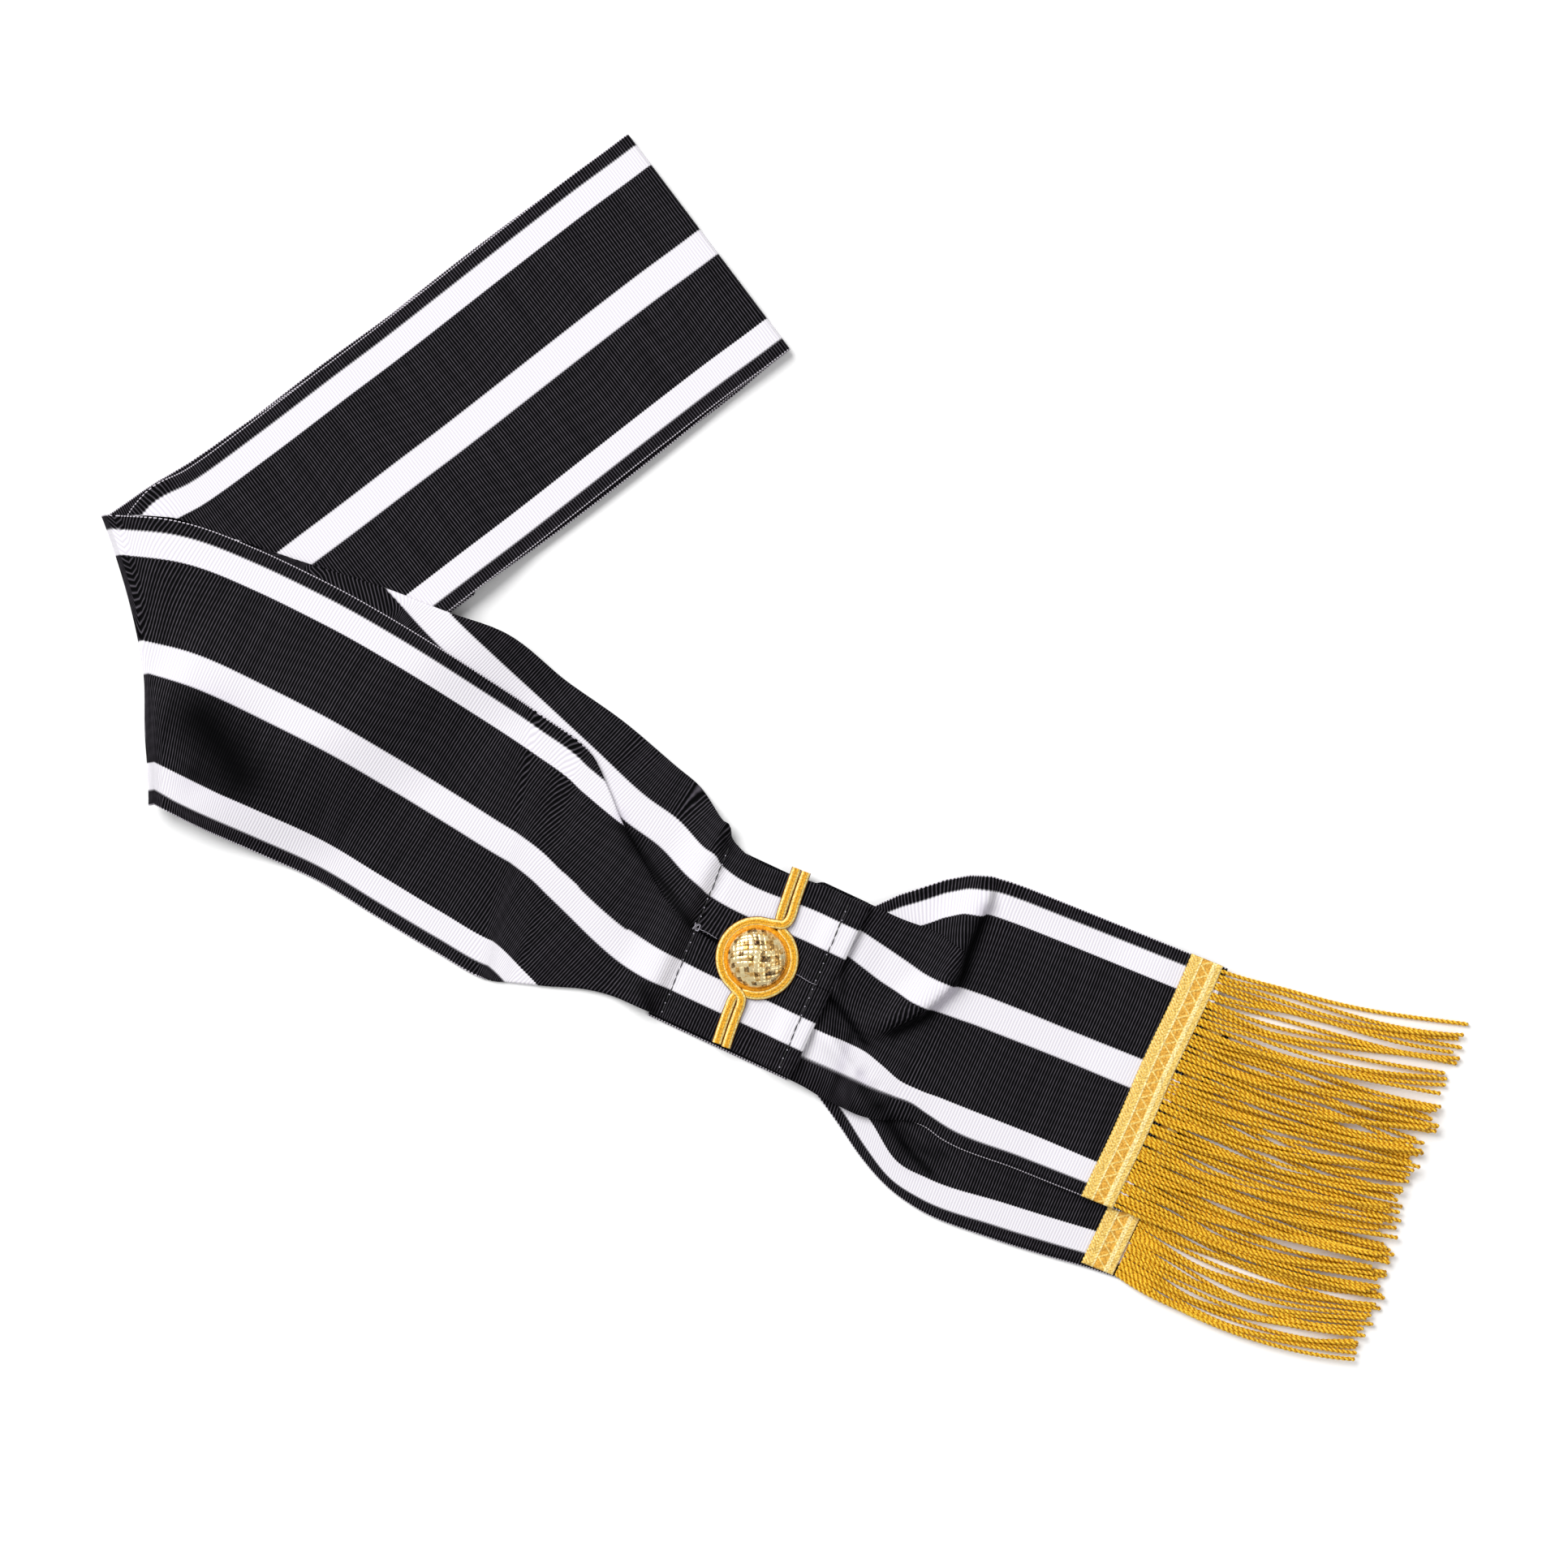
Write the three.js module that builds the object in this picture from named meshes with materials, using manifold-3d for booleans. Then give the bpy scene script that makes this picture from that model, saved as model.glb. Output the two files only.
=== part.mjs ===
// Sash of an order, folded flat: one loop of striped ribbon, a hip joint, two fringed tails and a button.
import * as THREE from 'three';
import { mergeVertices } from 'three/addons/utils/BufferGeometryUtils.js';
import Module from 'manifold-3d';

const wasm = await Module();
wasm.setup();

// Ribbon
const ribbonWidth = 100;
const ribbonWall = 1.0;
const layerGap = 0.3;

// Folded loop, seen from above
const lowerArmLength = 259;
const lowerArmAngle = -25.2;
const upperArmLength = 267;
const upperArmAngle = 37;
const foldLineLength = 108.8;
const foldLineAngle = 99.4;
const hiddenReturnLength = 119;
const hiddenFoldInset = 4;
const drapeLength = 45;

// Hip joint
const hipAngle = -25;
const hipLength = 49;
const hipBandWidth = 34.5;
const hipOverhang = 5.5;
const hipSeamGap = 0.4;
const backingMargin = 1.8;

// Tails and their fringes
const tailAngle = -22;
const tailLength = 113.7;
const braidWidth = 12.5;
const braidThickness = 1.4;
const fringeLength = 92;
const fringeThickness = 2.0;
const fringeLocks = 12;

// Button and its cord
const domeRadius = 11.0;
const domeHeight = 5.2;
const rimRadius = 11.9;
const rimThickness = 1.5;
const cordWidth = 3.7;
const cordThickness = 1.7;

const pitch = ribbonWall + layerGap;
const outerBendRadius = 1.5 * pitch;
const innerBendRadius = 0.5 * pitch;
const foldInset = outerBendRadius + ribbonWall / 2;
const stackLayers = 6;
const stackHeight = stackLayers * pitch;
const up = new THREE.Vector3(0, 0, 1);

// Shares of the ribbon's width at which a section has a point, and how thick it is there
const columns = [0, 0.012, 0.17, 0.335, 0.5, 0.665, 0.83, 0.988, 1];
const columnFullness = [0.45, 1, 1, 1, 1, 1, 1, 1, 0.45];

function smooth(from, to, value) {
  return THREE.MathUtils.smoothstep(value, from, to);
}

// A frame lying in plan: at() gives a point from distances along and across, read() gives them back.
function planFrame(origin, headingDegrees) {
  const heading = THREE.MathUtils.degToRad(headingDegrees);
  const along = new THREE.Vector3(Math.cos(heading), Math.sin(heading), 0);
  const across = new THREE.Vector3(-along.y, along.x, 0);
  return {
    along,
    at: (a, c) => origin.clone().addScaledVector(along, a).addScaledVector(across, c),
    read: (point) => {
      const offset = new THREE.Vector3(point.x - origin.x, point.y - origin.y, 0);
      return { along: offset.dot(along), across: offset.dot(across) };
    },
  };
}

const hip = planFrame(new THREE.Vector3(0, 0, 0), hipAngle);
const towardsFold = planFrame(new THREE.Vector3(0, 0, 0), lowerArmAngle);
const foldCentre = towardsFold.at(-lowerArmLength, 0);
const lowerArm = planFrame(foldCentre, lowerArmAngle);
const upperArm = planFrame(foldCentre, upperArmAngle);
const foldLine = planFrame(foldCentre, foldLineAngle - 90);

// One section of cloth: a mid-surface point, a normal and a half thickness for each column.
function flatSection(top, low, thickness, underside, face) {
  return columns.map((share, j) => {
    const mid = top.clone().lerp(low, share);
    mid.z = underside(mid) + thickness / 2;
    return { mid, normal: up.clone().multiplyScalar(face), half: (thickness / 2) * columnFullness[j] };
  });
}

// The half turn that carries the cloth from one flat section to the layer over or under it.
function bendSections(from, to, outward, steps = 6) {
  const bend = [];
  for (let k = 1; k < steps; k++) {
    const turn = (k / steps) * Math.PI;
    bend.push(from.map((start, j) => {
      const radius = (start.mid.z - to[j].mid.z) / 2;
      const radial = outward.clone().multiplyScalar(Math.sin(turn));
      radial.addScaledVector(up, Math.cos(turn) * Math.sign(radius));
      const mid = start.mid.clone().addScaledVector(outward, Math.abs(radius) * Math.sin(turn));
      mid.z = start.mid.z - radius * (1 - Math.cos(turn));
      return { mid, normal: radial.multiplyScalar(start.normal.z * Math.sign(radius)), half: start.half };
    }));
  }
  return bend;
}

// Closed body between rings of equal point counts, capped at both ends.
function loft(rings) {
  const count = rings[0].length;
  const positions = rings.flat().flatMap((p) => [p.x, p.y, p.z]);
  const index = [];
  for (let i = 0; i + 1 < rings.length; i++) {
    for (let j = 0; j < count; j++) {
      const a = i * count + j;
      const b = i * count + ((j + 1) % count);
      index.push(a, b, a + count, b, b + count, a + count);
    }
  }
  // Each cap joins the ring's points in pairs, from one side of the section to the other.
  const last = (rings.length - 1) * count;
  for (let j = 0; j < count / 2 - 1; j++) {
    const [a, b, c, d] = [j, j + 1, count - 2 - j, count - 1 - j];
    index.push(a, c, b, a, d, c);
    index.push(last + a, last + b, last + c, last + a, last + c, last + d);
  }
  const geometry = new THREE.BufferGeometry();
  geometry.setAttribute('position', new THREE.Float32BufferAttribute(positions, 3));
  geometry.setIndex(index);
  return facingOut(geometry);
}

function signedVolume(geometry) {
  const position = geometry.getAttribute('position');
  const corners = [new THREE.Vector3(), new THREE.Vector3(), new THREE.Vector3()];
  let volume = 0;
  for (let i = 0; i < geometry.index.count; i += 3) {
    corners.forEach((corner, k) => corner.fromBufferAttribute(position, geometry.index.getX(i + k)));
    volume += corners[0].dot(corners[1].clone().cross(corners[2])) / 6;
  }
  return volume;
}

function facingOut(geometry) {
  if (signedVolume(geometry) < 0) {
    const order = Array.from(geometry.index.array);
    for (let i = 0; i < order.length; i += 3) {
      [order[i + 1], order[i + 2]] = [order[i + 2], order[i + 1]];
    }
    geometry.setIndex(order);
  }
  geometry.computeVertexNormals();
  return geometry;
}

function clothSolid(sections) {
  return loft(sections.map((section) => {
    const face = section.map((s) => s.mid.clone().addScaledVector(s.normal, s.half));
    const back = section.map((s) => s.mid.clone().addScaledVector(s.normal, -s.half));
    return [...face, ...back.reverse()];
  }));
}

function toManifold(geometry) {
  const bare = geometry.clone();
  bare.deleteAttribute('normal');
  bare.deleteAttribute('uv');
  const merged = mergeVertices(bare, 1e-4);
  return new wasm.Manifold(new wasm.Mesh({
    numProp: 3,
    vertProperties: new Float32Array(merged.getAttribute('position').array),
    triVerts: new Uint32Array(merged.index.array),
  }));
}

function fuse(geometries) {
  const whole = geometries.map(toManifold).reduce((sum, solid) => sum.add(solid));
  const mesh = whole.getMesh();
  const geometry = new THREE.BufferGeometry();
  geometry.setAttribute('position', new THREE.Float32BufferAttribute(mesh.vertProperties, 3));
  geometry.setIndex(Array.from(mesh.triVerts));
  geometry.computeVertexNormals();
  return geometry;
}

// Straight line through a table's rows, read at any distance.
function readTable(rows, at, value, distance) {
  for (let i = 1; i < rows.length; i++) {
    if (distance <= at(rows[i]) || i === rows.length - 1) {
      const span = at(rows[i]) - at(rows[i - 1]);
      const share = THREE.MathUtils.clamp((distance - at(rows[i - 1])) / span, 0, 1);
      return THREE.MathUtils.lerp(value(rows[i - 1]), value(rows[i]), share);
    }
  }
  return value(rows[0]);
}

// Upper arm: along is a share of its length, side a share of the ribbon's width, skew in degrees.
const upperArmTable = [
  { along: 0.1, side: -0.045, skew: 20 },
  { along: 0.2, side: -0.068, skew: 9 },
  { along: 0.32, side: -0.072, skew: 2 },
  { along: 0.455, side: -0.07, skew: 0 },
  { along: 0.56, side: -0.068, skew: 0 },
  { along: 0.78, side: -0.062, skew: 0 },
];
const upperArmEndSide = -0.058;

function upperRow(alongDistance, sideDistance, skew) {
  const lean = Math.tan(THREE.MathUtils.degToRad(skew)) * (ribbonWidth / 2);
  return {
    top: upperArm.at(alongDistance + lean, sideDistance + ribbonWidth / 2),
    low: upperArm.at(alongDistance - lean, sideDistance - ribbonWidth / 2),
  };
}

function foldRow(inset) {
  return { top: foldLine.at(inset, foldLineLength / 2), low: foldLine.at(inset, -foldLineLength / 2) };
}

const upperRows = upperArmTable.map((row) => {
  return upperRow(row.along * upperArmLength, row.side * ribbonWidth, row.skew);
});
const upperEndRow = upperRow(upperArmLength - foldInset, upperArmEndSide * ribbonWidth, 0);
const returnEndInset = innerBendRadius + ribbonWall / 2;
const returnEndRow = upperRow(hiddenReturnLength - returnEndInset, upperArmTable[3].side * ribbonWidth, 0);
const stackEdge = [foldRow(0), ...upperRows, upperEndRow].map((row) => upperArm.read(row.low));

// The stack is six layers thick up to the end of the hidden return, and four beyond it.
function stackDrop(point) {
  const returnEnd = upperArmTable[3].along * upperArmLength;
  const flatAgain = upperArmTable[4].along * upperArmLength;
  return 2 * pitch * smooth(returnEnd, flatAgain, upperArm.read(point).along);
}

function upperLayer(level, firstRow, face) {
  const underside = (point) => level * pitch - (level > 1 ? stackDrop(point) : 0);
  const longRows = [firstRow, ...upperRows, upperEndRow];
  const returnRows = [firstRow, ...upperRows.slice(0, 3), returnEndRow];
  const rows = level > 1 ? longRows : returnRows;
  return rows.map((row) => flatSection(row.top, row.low, ribbonWall, underside, face));
}

// Height of what the lower arm lies on: the stack, then a slope of cloth down to the floor.
const drapeStart = 0.13 * drapeLength;

function supportHeight(point) {
  const { along, across } = upperArm.read(point);
  const edge = readTable(stackEdge, (row) => row.along, (row) => row.across, along);
  return stackHeight * (1 - smooth(drapeStart, drapeStart + drapeLength, edge - across));
}

// Lower arm, front ribbon: both edges, as shares of the arm's length and the ribbon's width
const frontArmTable = [
  { topAlong: -0.03, topAcross: 0.54, lowAlong: 0.19, lowAcross: -0.44, layers: 1 },
  { topAlong: 0.1, topAcross: 0.58, lowAlong: 0.29, lowAcross: -0.437, layers: 1 },
  { topAlong: 0.22, topAcross: 0.582, lowAlong: 0.385, lowAcross: -0.438, layers: 1 },
  { topAlong: 0.34, topAcross: 0.559, lowAlong: 0.48, lowAcross: -0.465, layers: 1 },
  { topAlong: 0.46, topAcross: 0.52, lowAlong: 0.575, lowAcross: -0.49, layers: 1 },
  { topAlong: 0.57, topAcross: 0.475, lowAlong: 0.659, lowAcross: -0.502, layers: 1.2 },
  { topAlong: 0.658, topAcross: 0.425, lowAlong: 0.7, lowAcross: -0.466, layers: 1.5 },
  { topAlong: 0.7, topAcross: 0.34, lowAlong: 0.745, lowAcross: -0.425, layers: 1.8 },
  { topAlong: 0.746, topAcross: 0.232, lowAlong: 0.79, lowAcross: -0.38, layers: 2.2 },
  { topAlong: 0.797, topAcross: 0.139, lowAlong: 0.829, lowAcross: -0.357, layers: 2.6 },
  { topAlong: 0.851, topAcross: 0.048, lowAlong: 0.865, lowAcross: -0.35, layers: 3 },
];

// Lower arm, back ribbon: it is folded along its upper edge and runs out from under the front ribbon.
const backArmTable = [
  { topAlong: -0.015, topAcross: 0.559, lowAlong: 0.183, lowAcross: -0.345, layers: 1 },
  { topAlong: 0.124, topAcross: 0.595, lowAlong: 0.244, lowAcross: -0.187, layers: 1 },
  { topAlong: 0.212, topAcross: 0.626, lowAlong: 0.29, lowAcross: -0.06, layers: 1.5 },
  { topAlong: 0.295, topAcross: 0.654, lowAlong: 0.35, lowAcross: 0.02, layers: 2 },
  { topAlong: 0.389, topAcross: 0.671, lowAlong: 0.43, lowAcross: 0.035, layers: 2 },
  { topAlong: 0.475, topAcross: 0.692, lowAlong: 0.515, lowAcross: 0.03, layers: 2 },
  { topAlong: 0.583, topAcross: 0.627, lowAlong: 0.6, lowAcross: 0.03, layers: 2 },
  { topAlong: 0.68, topAcross: 0.582, lowAlong: 0.69, lowAcross: 0.1, layers: 2.2 },
  { topAlong: 0.776, topAcross: 0.515, lowAlong: 0.7475, lowAcross: 0.237, layers: 2.6 },
  { topAlong: 0.822, topAcross: 0.482, lowAlong: 0.7985, lowAcross: 0.144, layers: 2.8 },
  { topAlong: 0.871, topAcross: 0.407, lowAlong: 0.8525, lowAcross: 0.053, layers: 3 },
];

function lowerRow(row) {
  return {
    top: lowerArm.at(row.topAlong * lowerArmLength, row.topAcross * ribbonWidth),
    low: lowerArm.at(row.lowAlong * lowerArmLength, row.lowAcross * ribbonWidth),
    thickness: row.layers * ribbonWall,
  };
}

// Hip joint: the ribbons' folded ends lie side by side on the backing and rise over the tails' roots.
const hipRibbonThickness = 3 * ribbonWall;
const hipEnd = hipLength / 2 + hipOverhang;
const rootReach = 9;
const rampLength = 6;
const climbStart = 17;
const climbEnd = 7;
const hipStations = [-hipLength / 2, hipEnd - rootReach - rampLength, hipEnd - rootReach, hipEnd];
const hipRootRise = 2 * pitch;

function hipHeight(along) {
  const onBacking = pitch * smooth(-hipLength / 2 - climbStart, -hipLength / 2 - climbEnd, along);
  return onBacking + hipRootRise * smooth(hipStations[1], hipStations[2], along);
}

function hipRows(side) {
  const inner = (side * hipSeamGap) / 2;
  const outer = side * (hipSeamGap / 2 + hipBandWidth);
  return hipStations.map((along) => ({
    top: hip.at(along, Math.max(inner, outer)),
    low: hip.at(along, Math.min(inner, outer)),
    thickness: hipRibbonThickness,
  }));
}

const leftFoldRow = { ...foldRow(foldInset), thickness: ribbonWall };
const backArmRows = [leftFoldRow, ...backArmTable.map(lowerRow), ...hipRows(1)];
const frontArmRows = [leftFoldRow, ...frontArmTable.map(lowerRow), ...hipRows(-1)];

function backArmHeight(point) {
  return supportHeight(point) + hipHeight(hip.read(point).along);
}

// How far the front ribbon is lifted by the back one under it: fully above it, not at all where they part.
const backArmEdge = backArmRows.slice(0, backArmTable.length + 1).map((row) => ({
  ...lowerArm.read(row.low),
  thickness: row.thickness,
}));

const coverShares = [-0.45, -0.06];
const partingShares = [0.76, 0.88];

function frontArmHeight(point) {
  const { along, across } = lowerArm.read(point);
  const edge = readTable(backArmEdge, (row) => row.along, (row) => row.across, along);
  const thickness = readTable(backArmEdge, (row) => row.along, (row) => row.thickness, along);
  const cover = smooth(coverShares[0] * ribbonWidth, coverShares[1] * ribbonWidth, across - edge);
  const parting = 1 - smooth(partingShares[0] * lowerArmLength, partingShares[1] * lowerArmLength, along);
  return backArmHeight(point) + cover * parting * (thickness + layerGap);
}

function clothSections(rows, underside, face) {
  return rows.map((row) => flatSection(row.top, row.low, row.thickness, underside, face));
}

// The ribbon is one strip: front arm, upper arm, hidden return, back again, back arm.
function sashRibbon() {
  const leftwards = foldLine.along.clone().negate();
  const rightwards = upperArm.along;
  const front = clothSections(frontArmRows, frontArmHeight, 1).reverse();
  const back = clothSections(backArmRows, backArmHeight, -1);
  const hiddenFold = foldRow(foldInset + hiddenFoldInset);
  const layer4 = upperLayer(4, foldRow(foldInset), -1);
  const layer3 = upperLayer(3, hiddenFold, 1).reverse();
  const layer0 = upperLayer(0, hiddenFold, -1);
  const layer1 = upperLayer(1, hiddenFold, 1).reverse();
  const layer2 = upperLayer(2, hiddenFold, -1);
  const layer5 = upperLayer(5, foldRow(foldInset), 1).reverse();
  const runs = [front, layer4, layer3, layer0, layer1, layer2, layer5, back];
  const outwards = [leftwards, rightwards, leftwards, rightwards, leftwards, rightwards, leftwards];
  const sections = [...runs[0]];
  for (let i = 1; i < runs.length; i++) {
    sections.push(...bendSections(runs[i - 1].at(-1), runs[i][0], outwards[i - 1]), ...runs[i]);
  }
  return clothSolid(sections);
}

// Backing under the hip joint: it shows as a narrow strip along the lower edge.
const backingTab = 4;
const backingTopInset = 3;
const backingEndInset = 1;
const backingLeft = -hipLength / 2 - backingTab;
const backingRight = hipEnd - backingEndInset;
const backingTop = hipBandWidth - backingTopInset;
const backingLow = -(hipSeamGap / 2 + hipBandWidth + backingMargin);

function hipBacking() {
  const outline = new THREE.Shape([
    new THREE.Vector2(backingLeft, backingLow),
    new THREE.Vector2(backingRight, backingLow),
    new THREE.Vector2(backingRight, backingTop),
    new THREE.Vector2(backingLeft, backingTop),
  ]);
  const plate = new THREE.ExtrudeGeometry(outline, { depth: ribbonWall, bevelEnabled: false });
  plate.rotateZ(THREE.MathUtils.degToRad(hipAngle));
  return plate;
}

// Tails: edges as shares of the tail's length and the ribbon's width, from the root to the braid.
const tailStartShares = [0.03, 0.054];
const tailStart = hip.at(hipEnd + tailStartShares[0] * ribbonWidth, tailStartShares[1] * ribbonWidth);
const tail = planFrame(tailStart, tailAngle);
const frontTailTable = [
  { topAlong: -0.09, topAcross: 0.26, lowAlong: -0.11, lowAcross: -0.345, layers: 1 },
  { topAlong: 0.013, topAcross: 0.32, lowAlong: -0.03, lowAcross: -0.37, layers: 1 },
  { topAlong: 0.117, topAcross: 0.43, lowAlong: 0.1, lowAcross: -0.361, layers: 1.6 },
  { topAlong: 0.25, topAcross: 0.544, lowAlong: 0.228, lowAcross: -0.358, layers: 2 },
  { topAlong: 0.385, topAcross: 0.579, lowAlong: 0.366, lowAcross: -0.369, layers: 1.5 },
  { topAlong: 0.518, topAcross: 0.582, lowAlong: 0.496, lowAcross: -0.406, layers: 1 },
  { topAlong: 0.76, topAcross: 0.582, lowAlong: 0.73, lowAcross: -0.404, layers: 1 },
  { topAlong: 1.018, topAcross: 0.582, lowAlong: 0.982, lowAcross: -0.405, layers: 1 },
];
const backTailTable = [
  { topAlong: -0.09, topAcross: 0.25, lowAlong: -0.11, lowAcross: -0.355, layers: 1 },
  { topAlong: 0.0, topAcross: 0.25, lowAlong: 0.03, lowAcross: -0.422, layers: 1 },
  { topAlong: 0.1, topAcross: 0.27, lowAlong: 0.16, lowAcross: -0.53, layers: 1.5 },
  { topAlong: 0.22, topAcross: 0.29, lowAlong: 0.293, lowAcross: -0.614, layers: 1.5 },
  { topAlong: 0.4, topAcross: 0.31, lowAlong: 0.49, lowAcross: -0.681, layers: 1 },
  { topAlong: 0.7, topAcross: 0.33, lowAlong: 0.72, lowAcross: -0.683, layers: 1 },
  { topAlong: 1.128, topAcross: 0.346, lowAlong: 1.09, lowAcross: -0.641, layers: 1 },
];
const braidTuck = 0.7;
const braidSeat = 0.25;

function tailRows(table) {
  const rows = table.map((row) => ({
    top: tail.at(row.topAlong * tailLength, row.topAcross * ribbonWidth),
    low: tail.at(row.lowAlong * tailLength, row.lowAcross * ribbonWidth),
    thickness: row.layers * ribbonWall,
  }));
  const end = rows.at(-1);
  const tuck = tail.along.clone().multiplyScalar(braidTuck * braidWidth);
  rows.push({ top: end.top.clone().add(tuck), low: end.low.clone().add(tuck), thickness: ribbonWall });
  return rows;
}

const frontTailRows = tailRows(frontTailTable);
const backTailRows = tailRows(backTailTable);
const backTailTop = backTailRows.map((row) => ({ ...tail.read(row.top), thickness: row.thickness }));

// The tails lie on the backing at their root and come down to the floor over this share of their length.
const rootShare = 0.11;

function rootHeight(point) {
  return pitch * (1 - smooth(0, rootShare * tailLength, tail.read(point).along));
}

const backHeadTop = ribbonWall + layerGap + braidThickness;
const frontTailEndHeight = backHeadTop + layerGap;

const spillShares = [0.04, 0.22];
const spillLength = 0.2;
const riseShares = [0.76, 0.98];

// The front tail lies on the back one, spills over its edge and rises again to the braid head.
function frontTailHeight(point) {
  const { along, across } = tail.read(point);
  const edge = readTable(backTailTop, (row) => row.along, (row) => row.across, along);
  const thickness = readTable(backTailTop, (row) => row.along, (row) => row.thickness, along);
  const beyond = smooth(spillShares[0] * ribbonWidth, spillShares[1] * ribbonWidth, across - edge);
  const spilled = beyond * smooth(0, spillLength, along / tailLength);
  const carried = rootHeight(point) + (thickness + layerGap) * (1 - spilled);
  const rise = smooth(riseShares[0] * tailLength, riseShares[1] * tailLength, along);
  return THREE.MathUtils.lerp(carried, frontTailEndHeight, rise);
}

function tailSolid(rows, underside) {
  return clothSolid(clothSections(rows, underside, 1));
}

// Braid head: a flat bar over the ribbon's cut end, stepped down where the cords leave it.
function braidHead(rows, floor) {
  const start = rows.at(-2);
  const along = tail.along;
  const stepAt = braidTuck * braidWidth + braidSeat;
  const over = floor + ribbonWall + layerGap;
  const crown = over + braidThickness;
  const profile = [
    [0, over], [stepAt, over], [stepAt, floor],
    [braidWidth, floor], [braidWidth, crown], [0, crown],
  ];
  const ring = (edge) => profile.map(([a, z]) => edge.clone().addScaledVector(along, a).setZ(z));
  return loft([ring(start.top), ring(start.low)]);
}

// Section of a lock of the fringe: shares of its half width and of its depth.
const lockProfile = [[-1, 0.3], [-0.8, 0], [0.8, 0], [1, 0.3], [1, 0.7], [0.8, 1], [-0.8, 1], [-1, 0.7]];
const lock = { narrowing: 0.15, thinning: 0.25, settling: 2.5, overlap: 1.02, ragged: 0.03, raggedStep: 2.4 };

// One lock: a flat bundle of cords that leaves along the tail and drifts across.
function fringeLock(root, drift, length, width, rootHeightAt, tipHeight) {
  const stations = 7;
  const side = tail.at(0, 1).sub(tail.at(0, 0));
  const rings = [];
  for (let i = 0; i < stations; i++) {
    const share = i / (stations - 1);
    const centre = tail.at(root.along + length * share, root.across + drift * share * share);
    const half = (width / 2) * (1 - lock.narrowing * share * share);
    const bottom = THREE.MathUtils.lerp(rootHeightAt, tipHeight, Math.min(1, lock.settling * share));
    const depth = fringeThickness * (1 - lock.thinning * share);
    const corner = ([s, z]) => centre.clone().addScaledVector(side, s * half).setZ(bottom + z * depth);
    rings.push(lockProfile.map(corner));
  }
  return loft(rings);
}

const frontFringe = { topDrift: 16, lowDrift: 6, tipHeight: fringeThickness + layerGap };
const backFringe = { topDrift: 2, lowDrift: 7, tipHeight: 0 };

function fringeSolid(rows, floor, fringe, restEdge) {
  const start = tail.read(rows.at(-2).top);
  const finish = tail.read(rows.at(-2).low);
  const solids = [braidHead(rows, floor)];
  const width = (start.across - finish.across) / fringeLocks;
  for (let i = 0; i < fringeLocks; i++) {
    const share = (i + 0.5) / fringeLocks;
    const root = {
      along: THREE.MathUtils.lerp(start.along, finish.along, share) + braidWidth - 1,
      across: THREE.MathUtils.lerp(start.across, finish.across, share),
    };
    const drift = THREE.MathUtils.lerp(fringe.topDrift, fringe.lowDrift, share);
    const length = fringeLength * (1 + lock.ragged * Math.sin(i * lock.raggedStep));
    const tip = root.across > restEdge ? 0 : fringe.tipHeight;
    solids.push(fringeLock(root, drift, length, width * lock.overlap, floor, tip));
  }
  return fuse(solids);
}

// Cord: a ring round the button and a pair of flat braids above and below it.
const ringInner = rimRadius + layerGap;
const ringOuter = ringInner + cordWidth * 0.9;
const ringMiddle = (ringInner + ringOuter) / 2;
const cordValley = 0.6 * cordThickness;
const cordSeat = pitch + hipRibbonThickness + layerGap;

function ridgedProfile(from, to, ridges) {
  const span = (to - from) / ridges;
  const top = [];
  for (let i = 0; i < ridges; i++) {
    top.push([from + span * (i + 0.25), cordThickness], [from + span * (i + 0.75), cordThickness]);
    if (i < ridges - 1) top.push([from + span * (i + 1), cordValley]);
  }
  return [[from, 0], [from, cordValley], ...top, [to, cordValley], [to, 0]];
}

function stripped(geometry) {
  geometry.deleteAttribute('normal');
  geometry.deleteAttribute('uv');
  return geometry;
}

function flatPoints(profile) {
  return profile.map(([x, y]) => new THREE.Vector2(x, y));
}

function buttonCord() {
  const profile = flatPoints(ridgedProfile(ringInner, ringOuter, 2));
  const ring = new THREE.LatheGeometry([...profile, profile[0].clone()], 32);
  ring.rotateX(Math.PI / 2);
  const ringSolid = facingOut(mergeVertices(stripped(ring), 1e-4));
  const reach = hipBandWidth + hipSeamGap / 2 - ringMiddle;
  const strips = [ringMiddle + reach, -ringMiddle].map((end) => {
    const shape = new THREE.Shape(flatPoints(ridgedProfile(-cordWidth, cordWidth, 4)));
    const strip = new THREE.ExtrudeGeometry(shape, { depth: reach, bevelEnabled: false });
    strip.rotateX(Math.PI / 2);
    strip.translate(0, end, 0);
    return strip;
  });
  const cord = fuse([ringSolid, ...strips]);
  cord.rotateZ(THREE.MathUtils.degToRad(hipAngle));
  cord.translate(0, 0, cordSeat);
  return cord;
}

function turned(profile, seat) {
  const body = new THREE.LatheGeometry(flatPoints(profile), 32);
  body.rotateX(Math.PI / 2);
  body.translate(0, 0, seat);
  return facingOut(mergeVertices(stripped(body), 1e-4));
}

const rimChamfer = 0.6;
const rimSide = 0.7 * rimThickness;

function buttonRim() {
  const corners = [[rimRadius, 0], [rimRadius, rimSide], [rimRadius - rimChamfer, rimThickness]];
  return turned([[0, 0], ...corners, [0, rimThickness]], cordSeat);
}

// The dome rises upright over this share of its height before it curves in.
const domeSkirt = 0.12;

function buttonDome() {
  const profile = [[0, 0], [domeRadius, 0]];
  const steps = 6;
  for (let i = 1; i <= steps; i++) {
    const angle = (i / steps) * (Math.PI / 2);
    const radius = i === steps ? 0 : domeRadius * Math.cos(angle);
    profile.push([radius, domeHeight * (domeSkirt + (1 - domeSkirt) * Math.sin(angle))]);
  }
  return turned(profile, cordSeat + rimThickness + layerGap);
}

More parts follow.
